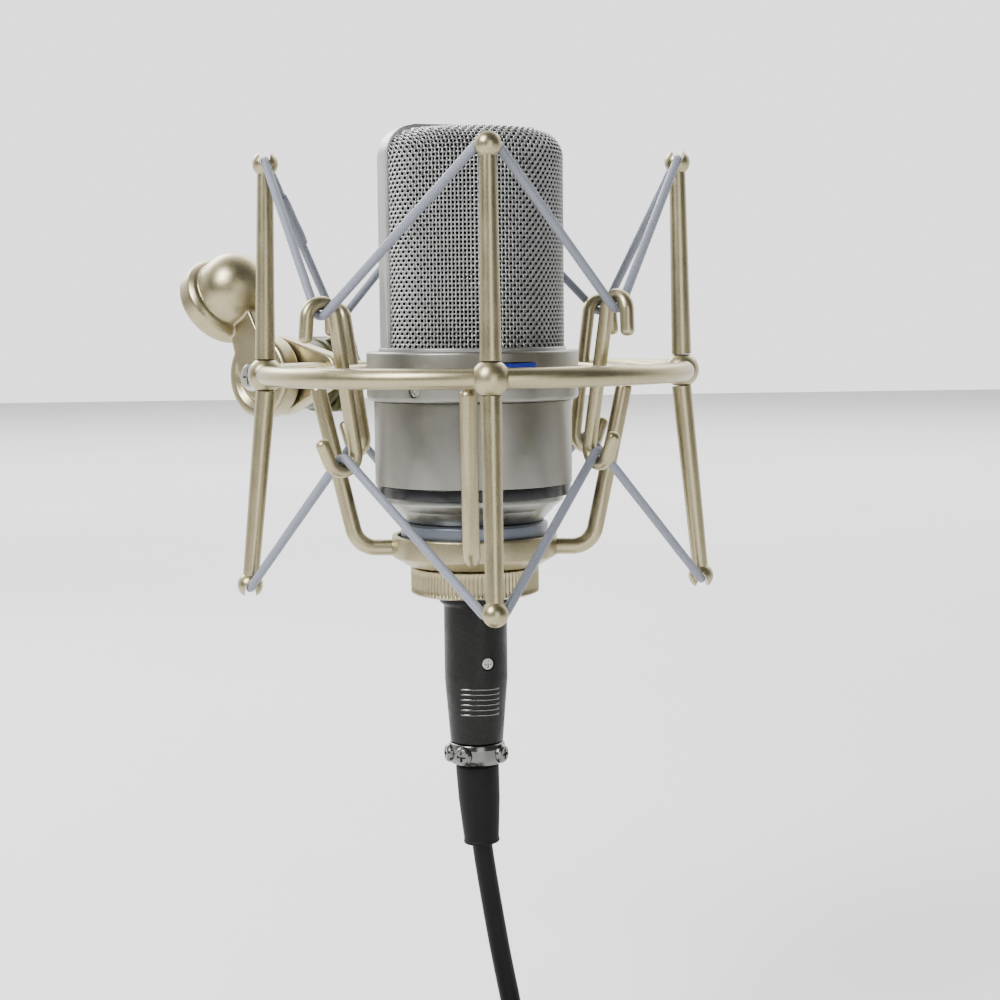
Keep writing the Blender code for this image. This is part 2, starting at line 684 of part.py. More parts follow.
def make_microphone(shop, mic):
    make_grille(shop, mic)
    radius, top, bottom = COLLAR
    collar = [
        (radius - 0.0006, top), (radius, top - 0.0006), (radius, bottom + 0.0012),
        (radius - 0.0012, bottom), (0.0297, bottom), (0.0297, top),
    ]
    collar = shop.turned("collar", collar, mic, "nickel", steps=32, ring=True)
    cuts = []
    for i in range(3):
        angle = math.radians(-143.5 + 120 * i)
        frame = along(polar(radius, angle, -0.0049), polar(radius + 0.01, angle, -0.0049))
        screw = [(0, -0.0003), (0.0016, -0.0003), (0.0016, -0.0008), (0.0011, -0.0030), (0, -0.0030)]
        shop.turned(f"collar_screw_{i + 1}", screw, mic, "steel", frame, 12)
        hole = [(0, 0.001), (0.0019, 0.001), (0.0019, -0.0009), (0.0014, -0.0033), (0, -0.0033)]
        cuts.append(shop.turned(f"screw_hole_{i + 1}", hole, mic, None, frame, 12))
    badge_low, badge_high = -0.0026, 0.0036
    badge_frame = Matrix.Rotation(math.pi / 2, 4, "X")
    recess = shop.box(
        "badge_recess", (-0.0083, badge_low - GAP, radius - 0.0019), (0.0083, badge_high + GAP, 0.04),
        mic, matrix=badge_frame,
    )
    shop.combine(collar, [*cuts, recess])
    shop.box(
        "badge", (-0.0080, badge_low, radius - 0.0016), (0.0080, badge_high, radius - 0.0004),
        mic, "badge", badge_frame,
    )

    radius, top, bottom = BODY
    body = [(radius, top), (radius, bottom), (0.0294, bottom), (0.0294, top)]
    shop.turned("mic_body", body, mic, "nickel", steps=36, ring=True)
    radius, top, bottom = BLACK_BAND
    band = [(radius, top), (radius, bottom), (0.0270, bottom), (0.0270, top)]
    shop.turned("body_band", band, mic, "gloss_black", steps=36, ring=True)
    base = [
        (0.0283, BASE_TOP), (0.0283, -0.0400), (0.0254, -0.0423), (0.0219, -0.0464), (0.0232, -0.0472),
        (0.0232, -0.0538), (SPIGOT_RADIUS, -0.0538), (SPIGOT_RADIUS, -0.0685), (SOCKET_BORE, -0.0685),
        (SOCKET_BORE, BASE_TOP),
    ]
    shop.turned("body_base", base, mic, "nickel", steps=28, ring=True)


def make_internals(shop, mic):
    """The capsule on its post, the chassis, the circuit board, the transformer and the XLR insert."""
    facing = Matrix.Translation((0, 0, CAPSULE_HEIGHT)) @ Matrix.Rotation(math.pi / 2, 4, "X")
    half = 0.0045
    capsule = [(0, half), (CAPSULE_RADIUS - 0.001, half), (CAPSULE_RADIUS, half - 0.001),
               (CAPSULE_RADIUS, -half + 0.001), (CAPSULE_RADIUS - 0.001, -half), (0, -half)]
    shop.turned("capsule_body", capsule, mic, "brass", facing, 24)
    for side, sign in (("front", 1), ("back", -1)):
        low, high = sorted((sign * (half + GAP), sign * (half + GAP + 0.0004)))
        disc = [(0, high), (0.0150, high), (0.0150, low), (0, low)]
        shop.turned(f"diaphragm_{side}", disc, mic, "gold", facing, 24)
    post_top = CAPSULE_HEIGHT - CAPSULE_RADIUS - GAP
    post = [(0, post_top), (0.0035, post_top), (0.0045, 0.0200), (0.0085, 0.0112), (0.0085, 0.0103),
            (0, 0.0103)]
    shop.turned("capsule_post", post, mic, "plastic", steps=16)
    plate = [(0, 0.0100), (0.0270, 0.0100), (0.0270, 0.0084), (0, 0.0084)]
    chassis = shop.turned("chassis_frame", plate, mic, "steel", steps=28)
    rails = [
        shop.box(f"rail_{i}", (x - 0.0015, -0.0040, -0.0340), (x + 0.0015, 0.0040, 0.0090), mic)
        for i, x in enumerate((-0.0220, 0.0220))
    ]
    shop.combine(chassis, rails, "UNION")
    shop.box("circuit_board", (-0.0190, -0.0016, -0.0330), (0.0190, 0.0000, 0.0060), mic, "board")
    shop.box("output_transformer", (-0.0090, 0.0003, -0.0320), (0.0090, 0.0150, -0.0140), mic, "steel")
    insert = [(0, -0.0530), (SOCKET_BORE - GAP, -0.0530), (SOCKET_BORE - GAP, -0.0570), (0, -0.0570)]
    insert = shop.turned("xlr_insert", insert, mic, "plastic", steps=24)
    pins = []
    for i in range(3):
        place = Matrix.Translation(polar(PIN_CIRCLE, pin_angle(i)))
        pin = [(0, -0.0560), (PIN_RADIUS, -0.0560), (PIN_RADIUS, -0.0662), (0.0006, -0.0668), (0, -0.0668)]
        pins.append(shop.turned(f"pin_{i}", pin, mic, None, place, 10))
    shop.combine(insert, pins, "UNION")


def pin_angle(index):
    return math.radians(90 + 120 * index)


def shell_profile():
    """The connector's shell: nose, flange, grip and taper, then the bore for the insert."""
    return [
        (0.0079, -0.0585), (0.0079, SHELL_TOP), (0.0114, SHELL_TOP), (0.0114, -0.0726),
        (0.0100, -0.0735), (0.0100, -0.0970), (0.0084, SHELL_END), (0.0040, SHELL_END),
        (0.0040, -0.0740), (0.0072, -0.0740), (0.0072, -0.0585),
    ]


def make_connector(shop, mic):
    """The cable connector plugged into the microphone, with its latch, clamp and boot."""
    turn = Matrix.Rotation(CONNECTOR_YAW, 4, "Z")
    shell = shop.turned("connector_shell", shell_profile(), mic, "black_shell", turn, 24, ring=True)
    pocket = shop.box(
        "latch_pocket", (-0.0033, 0.0058, -0.0873), (0.0033, 0.0120, -0.0767), mic, matrix=turn
    )
    shop.combine(shell, [pocket])
    shop.box("latch_button", (-0.0030, 0.0075, -0.0870), (0.0030, 0.0108, -0.0770), mic, "steel", turn)
    insert = [(0, -0.0587), (0.0069, -0.0587), (0.0069, -0.0737), (0, -0.0737)]
    insert = shop.turned("connector_insert", insert, mic, "plastic", steps=20)
    holes = []
    for i in range(3):
        place = Matrix.Translation(polar(PIN_CIRCLE, pin_angle(i)))
        hole = [(0, -0.0570), (PIN_HOLE, -0.0570), (PIN_HOLE, -0.0690), (0, -0.0690)]
        holes.append(shop.turned(f"pin_hole_{i}", hole, mic, None, place, 10))
    shop.combine(insert, holes)

    low, high = BOOT_TOP + GAP, SHELL_END - GAP
    clamp = [(0.0088, high), (0.0094, high - 0.0010), (0.0094, low + 0.0010), (0.0086, low),
             (0.0042, low), (0.0042, high)]
    clamp = shop.turned("cable_clamp", clamp, mic, "chrome", steps=24, ring=True)
    ears = [
        shop.box(
            f"clamp_ear_{i}", (0.0070, -0.0026, low + 0.0008), (0.0112, 0.0026, high - 0.0008), mic,
            matrix=Matrix.Rotation(math.radians(a), 4, "Z"),
        )
        for i, a in enumerate((-150, -62, 163))
    ]
    shop.combine(clamp, ears, "UNION")


def make_lead(shop, ring_centre):
    """The boot, the hanging stretch, the coil on the surface below, and the plug on its far end."""
    top = Vector((CRADLE_OFFSET[0], CRADLE_OFFSET[1], BOOT_TOP))
    lean = Matrix.Translation(top) @ Matrix.Rotation(-BOOT_LEAN, 4, "Y")
    shop.turned("connector_boot", boot_profile(), ring_centre, "rubber", lean, 20)
    points = smooth(CABLE_ROUTE, 0.010)
    shop.tube("cable", points, CABLE_RADIUS, ring_centre, "cable", sides=3)
    place = Matrix.Translation((*COIL_CENTRE, 0))
    shop.turned("cable_coil", coil_outline(), ring_centre, "cable", place, 32, ring=True)

    route = [(x, y, FLOOR + height) for x, y, height in TAIL_ROUTE]
    shop.tube("cable_tail", smooth(route, 0.007), CABLE_RADIUS, ring_centre, "cable", sides=3)
    end = Vector(route[-1])
    way = Vector((0, -1, 0))
    boot_top = end + way * (BOOT_LENGTH + 3 * GAP)  # the boot's wide end
    shop.turned("plug_boot", boot_profile(), ring_centre, "rubber", along(boot_top, boot_top + way), 20)
    shell_end = boot_top + way * GAP
    shell_frame = along(shell_end, shell_end + way)
    length = 0.0640
    shell = [
        (0.0080, length), (0.0095, length - 0.0010), (0.0095, 0.0200), (0.0084, 0), (0.0040, 0),
        (0.0040, 0.0430), (0.0080, 0.0430),
    ]
    shop.turned("plug_shell", shell, ring_centre, "black_shell", shell_frame, 24, ring=True)
    base = [(0, 0.0475), (0.0077, 0.0475), (0.0077, 0.0433), (0, 0.0433)]
    insert = shop.turned("plug_insert", base, ring_centre, "plastic", shell_frame, 20)
    pins = []
    for i in range(3):
        offset = Matrix.Translation(polar(PIN_CIRCLE, pin_angle(i)))
        pin = [(0, 0.0590), (0.0006, 0.0590), (PIN_RADIUS, 0.0584), (PIN_RADIUS, 0.0470), (0, 0.0470)]
        pins.append(shop.turned(f"plug_pin_{i}", pin, ring_centre, None, shell_frame @ offset, 10))
    shop.combine(insert, pins, "UNION")


def boot_profile():
    """A boot that tapers down from its wide end at the origin."""
    return [
        (0, 0), (0.0066, 0), (0.0069, -0.0008), (0.0066, -0.0120), (0.0055, -BOOT_LENGTH + 0.0004),
        (0.0050, -BOOT_LENGTH), (0, -BOOT_LENGTH),
    ]


def main():
    for old in list(bpy.data.objects):
        bpy.data.objects.remove(old)
    shop = Workshop()
    make_finishes(shop)
    mouth_way = ARM_OUT * math.cos(SOCKET_TILT) - UP * math.sin(SOCKET_TILT)
    socket_centre = HINGE + ARM_OUT * SOCKET_REACH + UP * SOCKET_RISE + HINGE_AXIS * NECK_MIDDLE
    mouth = socket_centre + mouth_way * SOCKET_LENGTH
    ring_centre = shop.empty("ring_centre", -mouth)
    cradle = shop.empty(
        "cradle_axis", (*CRADLE_OFFSET, 0), ring_centre, Matrix.Rotation(CRADLE_YAW, 3, "Z")
    )
    mic = shop.empty("mic_axis", (*CRADLE_OFFSET, 0), ring_centre, Matrix.Rotation(MIC_YAW, 3, "Z"))
    make_outer_frame(shop, ring_centre)
    make_swivel(shop, ring_centre)
    make_cradle(shop, cradle)
    make_microphone(shop, mic)
    make_internals(shop, mic)
    make_connector(shop, mic)
    make_lead(shop, ring_centre)
    for piece in shop.parts.objects:
        if piece.type == "MESH" and not piece.modifiers:
            piece.data.shade_smooth()
            piece.data.set_sharp_from_angle(angle=math.radians(35))


main()
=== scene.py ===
"""The condenser microphone in its spider shock mount, with detailed pieces and materials."""

import json
import math

import bmesh
import bpy
from mathutils import Matrix, Vector

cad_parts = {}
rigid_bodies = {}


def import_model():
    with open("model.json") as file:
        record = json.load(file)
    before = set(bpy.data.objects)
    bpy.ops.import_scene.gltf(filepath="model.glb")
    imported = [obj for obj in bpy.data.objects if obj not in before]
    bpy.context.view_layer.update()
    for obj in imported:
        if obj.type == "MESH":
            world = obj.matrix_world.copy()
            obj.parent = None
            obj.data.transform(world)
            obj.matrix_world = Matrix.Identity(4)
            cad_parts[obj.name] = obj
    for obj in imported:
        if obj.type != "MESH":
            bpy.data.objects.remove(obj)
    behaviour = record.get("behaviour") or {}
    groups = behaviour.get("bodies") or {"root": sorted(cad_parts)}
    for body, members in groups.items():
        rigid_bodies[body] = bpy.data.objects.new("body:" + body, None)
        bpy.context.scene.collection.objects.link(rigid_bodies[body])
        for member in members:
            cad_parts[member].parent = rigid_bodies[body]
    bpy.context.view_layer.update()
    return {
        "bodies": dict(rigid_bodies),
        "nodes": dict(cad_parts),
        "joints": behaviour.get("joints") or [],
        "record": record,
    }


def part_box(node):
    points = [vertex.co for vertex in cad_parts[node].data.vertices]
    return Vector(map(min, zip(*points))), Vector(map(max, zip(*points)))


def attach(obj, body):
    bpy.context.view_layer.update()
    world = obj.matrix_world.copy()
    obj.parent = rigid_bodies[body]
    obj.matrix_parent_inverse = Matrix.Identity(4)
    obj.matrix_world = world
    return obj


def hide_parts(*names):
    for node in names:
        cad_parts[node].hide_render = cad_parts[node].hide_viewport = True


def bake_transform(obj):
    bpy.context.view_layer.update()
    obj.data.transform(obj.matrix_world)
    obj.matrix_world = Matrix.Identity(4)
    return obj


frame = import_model()
NODES = frame["nodes"]
RECORD = frame["record"]

MM = 0.001
UP = Vector((0, 0, 1))
JOINTS = {j["name"]: j for j in RECORD["behaviour"]["joints"]}
SIDES = ["right", "back", "left", "front"]
CORNERS = ["back_right", "back_left", "front_left", "front_right"]


def middle(node):
    low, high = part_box(node)
    return (Vector(low) + Vector(high)) / 2


RING = middle("outer_ring")
AXIS = Vector((*middle("mic_body").xy, RING.z))
HINGE = Vector(JOINTS["swivel_tilt"]["pos_m"])
HINGE_AXIS = Vector(JOINTS["swivel_tilt"]["axis"])
CRADLE_YAW = math.radians(-5.3)
MIC_YAW = math.radians(17.5)


# ---------------------------------------------------------------- mesh tools


def new_object(name, mesh):
    thing = bpy.data.objects.new(name, mesh)
    bpy.context.scene.collection.objects.link(thing)
    return thing


def build(name, points, faces, uvs=None, sharp=None):
    """An object from points in metres, with a (u, v) for each corner if uvs is given."""
    mesh = bpy.data.meshes.new(name)
    mesh.from_pydata([tuple(p) for p in points], [], faces)
    if uvs is not None:
        layer = mesh.uv_layers.new(name="UVMap")
        for loop, uv in zip(layer.data, uvs):
            loop.uv = uv
    smooth(mesh, sharp)
    return new_object(name, mesh)


def smooth(mesh, sharp=35):
    """Smooth shading, with sharp edges where faces meet at more than sharp degrees."""
    mesh.shade_smooth()
    if sharp is not None:
        mesh.set_sharp_from_angle(angle=math.radians(sharp))


def from_form(name, form):
    mesh = bpy.data.meshes.new(name)
    form.to_mesh(mesh)
    form.free()
    return mesh


def frozen(thing):
    """The object's mesh with its modifiers applied."""
    bpy.context.view_layer.update()
    return bpy.data.meshes.new_from_object(thing.evaluated_get(bpy.context.evaluated_depsgraph_get()))


def stitch(rows, steps, uv, closed=False, flip=False):
    """Faces between neighbouring rows of point numbers, with uv(k, n) at corner k of row n."""
    faces, uvs = [], []
    for n in range(len(rows) if closed else len(rows) - 1):
        here, onward = rows[n], rows[(n + 1) % len(rows)]
        for k in range(steps):
            m = (k + 1) % steps
            corners = [
                (here[k], k, n), (onward[k], k, n + 1), (onward[m], k + 1, n + 1), (here[m], k + 1, n),
            ]
            if flip:
                corners[1], corners[3] = corners[3], corners[1]
            quad = [c[0] for c in corners]
            keep = [c for i, c in enumerate(corners) if c[0] not in quad[:i]]
            if len(keep) > 2:
                faces.append([c[0] for c in keep])
                uvs += [uv(c[1], c[2]) for c in keep]
    return faces, uvs


def fillet(points, closed=False, steps=4):
    """Rounds each (x, y, radius) corner of an outline, and returns (x, y) points."""
    done = []
    count = len(points)
    for i, point in enumerate(points):
        radius = point[2] if len(point) > 2 else 0
        here = Vector(point[:2])
        if radius <= 0 or (not closed and i in (0, count - 1)):
            done.append(tuple(here))
            continue
        before = (Vector(points[i - 1][:2]) - here).normalized()
        after = (Vector(points[(i + 1) % count][:2]) - here).normalized()
        half = before.angle(after) / 2
        if half > math.radians(88):
            done.append(tuple(here))
            continue
        reach = radius / math.tan(half)
        start, end = here + before * reach, here + after * reach
        centre = here + (before + after).normalized() * (radius / math.sin(half))
        a0 = math.atan2(start.y - centre.y, start.x - centre.x)
        a1 = math.atan2(end.y - centre.y, end.x - centre.x)
        turn = (a1 - a0 + math.pi) % (2 * math.pi) - math.pi
        for k in range(steps + 1):
            a = a0 + turn * k / steps
            done.append((centre.x + radius * math.cos(a), centre.y + radius * math.sin(a)))
    return done


def lathe(name, profile, matrix=None, steps=96, closed=False, ripple=None, sharp=35, corner=4):
    """A turned piece from (radius mm, height mm, fillet mm) points. ripple(angle, i) adds mm to radius."""
    outline = fillet(profile, closed, corner)
    matrix = matrix or Matrix()
    points, rows = [], []
    for i, (radius, height) in enumerate(outline):
        if radius < 1e-6:
            rows.append([len(points)] * steps)
            points.append(matrix @ Vector((0, 0, height * MM)))
            continue
        row = []
        for k in range(steps):
            angle = 2 * math.pi * k / steps
            r = radius + (ripple(angle, height) if ripple else 0)
            row.append(len(points))
            points.append(matrix @ Vector((r * math.cos(angle) * MM, r * math.sin(angle) * MM, height * MM)))
        rows.append(row)
    travelled = [0.0]
    loop = outline + [outline[0]] if closed else outline
    for a, b in zip(loop, loop[1:]):
        travelled.append(travelled[-1] + math.dist(a, b))
    faces, uvs = stitch(rows, steps, lambda k, n: (k / steps, travelled[n]), closed)
    return build(name, points, faces, uvs, sharp)


def frames_along(path):
    """Parallel-transported (point, side, up, tangent) frames along a path."""
    padded = [path[0], *path, path[-1]]
    tangents = [(after - before).normalized() for before, after in zip(padded, padded[2:])]
    side = tangents[0].orthogonal().normalized()
    result = []
    for i, tangent in enumerate(tangents):
        if i:
            side = tangents[i - 1].rotation_difference(tangent) @ side
        side = (side - tangent * side.dot(tangent)).normalized()
        result.append((path[i], side, tangent.cross(side), tangent))
    return result


def circle(point, side, up, radius, sides):
    turns = [2 * math.pi * k / sides for k in range(sides)]
    return [point + (side * math.cos(a) + up * math.sin(a)) * radius for a in turns]


def tube(name, path, radius, sides=20, ends=(1.0, 1.0)):
    """A tube along points in metres. ends are each cap's height over its radius: 1 is a round end."""
    frames = frames_along(path)
    rings = []
    travelled = 0.0
    caps = 6

    def cap(frame, end, way, k, start):
        """A ring of the cap, k of caps steps from the tube's end."""
        point, side, up, tangent = frame
        a = math.pi / 2 * k / caps
        rise = way * radius * math.sin(a)
        return point + tangent * rise * end, side, up, radius * math.cos(a), start + rise

    if ends[0]:
        rings += [cap(frames[0], ends[0], -1, k, 0) for k in range(caps, 0, -1)]
    for i, (p, s, u, _) in enumerate(frames):
        if i:
            travelled += (p - path[i - 1]).length
        rings.append((p, s, u, radius, travelled))
    if ends[1]:
        rings += [cap(frames[-1], ends[1], 1, k, travelled) for k in range(1, caps + 1)]
    points, rows = [], []
    for p, s, u, r, _ in rings:
        if r < radius * 0.01:
            rows.append([len(points)] * sides)
            points.append(p)
            continue
        rows.append(list(range(len(points), len(points) + sides)))
        points += circle(p, s, u, r, sides)
    faces, uvs = stitch(rows, sides, lambda k, n: (k / sides, rings[n][4] / MM), flip=True)
    if not ends[0]:
        faces.append(rows[0][::-1])
        uvs += [(0, 0)] * sides
    if not ends[1]:
        faces.append(rows[-1])
        uvs += [(0, 0)] * sides
    return build(name, points, faces, uvs, 50)


def torus(name, centre, radius, thickness, steps=160, sides=24):
    profile = [
        (radius + thickness * math.cos(a), thickness * math.sin(a))
        for a in [2 * math.pi * k / sides for k in range(sides)]
    ]
    return lathe(name, profile[::-1], Matrix.Translation(centre), steps, closed=True, sharp=None)


def plate(name, outline, thickness, matrix, bevel=0.4, rows=3):
    """A flat outline in mm, thickness centred on Z, with rounded edges."""
    curve = bpy.data.curves.new(name, "CURVE")
    curve.dimensions = "2D"
    curve.fill_mode = "BOTH"
    curve.extrude = (thickness / 2 - bevel) * MM
    curve.bevel_depth = bevel * MM
    curve.bevel_resolution = rows
    curve.offset = -bevel * MM
    spline = curve.splines.new("POLY")
    spline.points.add(len(outline) - 1)
    for point, place in zip(spline.points, outline):
        point.co = (place[0] * MM, place[1] * MM, 0, 1)
    spline.use_cyclic_u = True
    holder = new_object(name, curve)
    mesh = frozen(holder)
    bpy.data.objects.remove(holder)
    bpy.data.curves.remove(curve)
    weld(mesh)
    mesh.transform(matrix)
    smooth(mesh)
    return new_object(name, mesh)


def weld(mesh, distance=0.00001):
    form = bmesh.new()
    form.from_mesh(mesh)
    bmesh.ops.remove_doubles(form, verts=form.verts, dist=distance)
    form.to_mesh(mesh)
    form.free()


def block(name, low, high, matrix, bevel=0.3, segments=3):
    """A box in mm with rounded edges."""
    form = bmesh.new()
    bmesh.ops.create_cube(form, size=1)
    low, high = Vector(low) * MM, Vector(high) * MM
    bmesh.ops.scale(form, vec=high - low, verts=form.verts)
    bmesh.ops.translate(form, vec=(high + low) / 2, verts=form.verts)
    if bevel:
        bmesh.ops.bevel(
            form, geom=form.edges, offset=bevel * MM, segments=segments, profile=0.5, affect="EDGES"
        )
    bmesh.ops.transform(form, matrix=matrix, verts=form.verts)
    mesh = from_form(name, form)
    smooth(mesh)
    return new_object(name, mesh)


def settle(thing):
    """Applies the object's modifiers."""
    mesh = frozen(thing)
    thing.modifiers.clear()
    thing.data = mesh
    return thing


def boolean(thing, others, operation="DIFFERENCE", sharp=35):
    for other in others:
        step = thing.modifiers.new("cut", "BOOLEAN")
        step.operation = operation
        step.object = other
        step.solver = "EXACT"
    settle(thing)
    for other in others:
        bpy.data.objects.remove(other)
    smooth(thing.data, sharp)
    return thing


def melt(thing, voxel, smoothing, rounds):
    """Remeshes a solid and smooths it, so that its pieces blend as in a casting."""
    step = thing.modifiers.new("melt", "REMESH")
    step.mode = "VOXEL"
    step.voxel_size = voxel * MM
    soft = thing.modifiers.new("soft", "SMOOTH")
    soft.factor = smoothing
    soft.iterations = rounds
    settle(thing)
    thing.data.shade_smooth()
    return thing


def cross(place, width, length, low, high, bevel, segments=2):
    """Two crossed bars that cut a Phillips recess, with half sizes in mm."""
    sizes = ((width, length), (length, width))
    return [block("cross", (-x, -y, low), (x, y, high), place, bevel, segments) for x, y in sizes]


def join(name, things):
    """One object of several, which keep their own shapes."""
    form = bmesh.new()
    for thing in things:
        form.from_mesh(thing.data)
    mesh = from_form(name, form)
    for thing in things:
        bpy.data.objects.remove(thing)
    return new_object(name, mesh)


def along(start, end):
    """A frame at start whose Z axis points to end."""
    direction = Vector(end) - Vector(start)
    return Matrix.Translation(start) @ direction.to_track_quat("Z", "Y").to_matrix().to_4x4()


def polar(radius, angle, height=0.0):
    """A point around the Z axis, from millimetres to metres."""
    return Vector((radius * math.cos(angle), radius * math.sin(angle), height)) * MM


def arc(centre, radius, start, end, count):
    """count + 1 points of an arc between two angles in radians."""
    angles = [start + (end - start) * i / count for i in range(count + 1)]
    return [(centre[0] + radius * math.cos(a), centre[1] + radius * math.sin(a)) for a in angles]


def spread(route, count):
    """count evenly spaced points on a Catmull-Rom curve through the route."""
    points = [Vector(p) for p in route]
    padded = [2 * points[0] - points[1], *points, 2 * points[-1] - points[-2]]
    fine = []
    for a, b, c, d in zip(padded, padded[1:], padded[2:], padded[3:]):
        for i in range(24):
            t = i / 24
            square, cube = 2 * a - 5 * b + 4 * c - d, 3 * b - a - 3 * c + d
            fine.append((2 * b + (c - a) * t + square * t**2 + cube * t**3) / 2)
    fine.append(points[-1])
    lengths = [0.0]
    for a, b in zip(fine, fine[1:]):
        lengths.append(lengths[-1] + (b - a).length)
    result, at = [], 0
    for k in range(count):
        target = lengths[-1] * k / (count - 1)
        while at < len(fine) - 2 and lengths[at + 1] < target:
            at += 1
        share = (target - lengths[at]) / max(lengths[at + 1] - lengths[at], 1e-9)
        result.append(fine[at].lerp(fine[at + 1], share))
    return result


# ---------------------------------------------------------------- materials


class Nodes:
    """A material's node tree, with short calls for the nodes used here."""

    def __init__(self, name):
        self.material = bpy.data.materials.new(name)
        self.material.use_nodes = True
        self.tree = self.material.node_tree
        self.shader = self.tree.nodes["Principled BSDF"]
        self.coords = self.tree.nodes.new("ShaderNodeTexCoord")

    def node(self, kind, values=None, **settings):
        made = self.tree.nodes.new(kind)
        for key, value in settings.items():
            setattr(made, key, value)
        for key, value in (values or {}).items():
            self.put(made.inputs[key], value)
        return made

    def put(self, socket, value):
        if isinstance(value, bpy.types.NodeSocket):
            self.tree.links.new(value, socket)
        else:
            socket.default_value = value

    def noise(self, size, detail=3, roughness=0.5):
        """Noise with features of about size mm."""
        place = self.coords.outputs["Object"]
        values = {"Vector": place, "Scale": 1 / (size * MM), "Detail": detail, "Roughness": roughness}
        return self.node("ShaderNodeTexNoise", values).outputs["Fac"]

    def math(self, operation, a, b=0.0):
        made = self.node("ShaderNodeMath", operation=operation)
        self.put(made.inputs[0], a)
        self.put(made.inputs[1], b)
        return made.outputs[0]

    def span(self, value, low, high, to_low, to_high):
        made = self.node(
            "ShaderNodeMapRange",
            {"Value": value, "From Min": low, "From Max": high, "To Min": to_low, "To Max": to_high},
        )
        return made.outputs["Result"]

    def ramp(self, value, stops):
        made = self.node("ShaderNodeValToRGB", {"Fac": value})
        elements = made.color_ramp.elements
        while len(elements) < len(stops):
            elements.new(0.5)
        for element, (place, colour) in zip(elements, stops):
            element.position = place
            element.color = (*colour, 1)
        return made.outputs["Color"]

    def mix(self, share, a, b, blend="MIX"):
        made = self.node("ShaderNodeMix", data_type="RGBA", blend_type=blend)
        self.put(made.inputs[0], share)
        self.put(made.inputs[6], a)
        self.put(made.inputs[7], b)
        return made.outputs[2]

    def bump(self, height, distance, strength=1.0):
        """distance in mm."""
        values = {"Height": height, "Distance": distance * MM, "Strength": strength}
        return self.node("ShaderNodeBump", values).outputs["Normal"]

    def uv(self):
        made = self.node("ShaderNodeSeparateXYZ", {"Vector": self.coords.outputs["UV"]})
        return made.outputs["X"], made.outputs["Y"]

    def finish(self, colour, roughness, normal=None, metallic=0.0, **extra):
        self.put(self.shader.inputs["Base Color"], colour)
        self.put(self.shader.inputs["Roughness"], roughness)
        self.shader.inputs["Metallic"].default_value = metallic
        if normal:
            self.put(self.shader.inputs["Normal"], normal)
        for key, value in extra.items():
            self.shader.inputs[key.replace("_", " ")].default_value = value
        return self.material


def lighter(colour, factor):
    """The colour times factor, so it is darker where factor is under 1."""
    return tuple(min(c * factor, 1) for c in colour)


def satin_metal(name, colour, roughness, grain=0.35, depth=0.02, blotch=0.10, sparkle=0.12):
    """Blasted and plated metal: fine grain, soft patches and a slight sparkle."""
    n = Nodes(name)
    grains = n.noise(grain, 4, 0.65)
    patches = n.noise(9, 3)
    colour_out = n.ramp(
        n.span(grains, 0.3, 0.7, 0, 1),
        [(0.0, lighter(colour, 1 - sparkle)), (0.55, colour), (1.0, lighter(colour, 1 + sparkle))],
    )
    tint = n.ramp(patches, [(0.3, lighter((1, 1, 1), 1 - blotch)), (0.7, (1, 1, 1))])
    colour_out = n.mix(1.0, colour_out, tint, "MULTIPLY")
    rough = n.math(
        "ADD",
        n.span(grains, 0.3, 0.7, roughness - 0.05, roughness + 0.06),
        n.span(patches, 0.3, 0.7, -0.03, 0.04),
    )
    return n.finish(colour_out, rough, n.bump(grains, depth), 1.0)


def smooth_metal(name, colour, roughness, wear=0.06):
    """Turned or plated metal with faint turning lines and smears."""
    n = Nodes(name)
    smears = n.noise(6, 4)
    fine = n.noise(0.5, 3)
    rough = n.math(
        "ADD",
        n.span(smears, 0.3, 0.7, roughness - wear / 2, roughness + wear),
        n.span(fine, 0.3, 0.7, -0.02, 0.02),
    )
    colour_out = n.ramp(smears, [(0.25, lighter(colour, 0.88)), (0.75, lighter(colour, 1.06))])
    return n.finish(colour_out, rough, n.bump(fine, 0.004), 1.0)


def plain_plastic(name, colour, roughness, grain=0.25, depth=0.03, spread_by=0.25, specular=0.5):
    n = Nodes(name)
    grains = n.noise(grain, 4, 0.6)
    patches = n.noise(12, 3)
    colour_out = n.ramp(
        n.math("ADD", n.math("MULTIPLY", grains, 0.5), n.math("MULTIPLY", patches, 0.5)),
        [(0.35, lighter(colour, 1 - spread_by)), (0.65, lighter(colour, 1 + spread_by))],
    )
    rough = n.span(patches, 0.3, 0.7, roughness - 0.05, roughness + 0.07)
    return n.finish(colour_out, rough, n.bump(grains, depth), Specular_IOR_Level=specular)


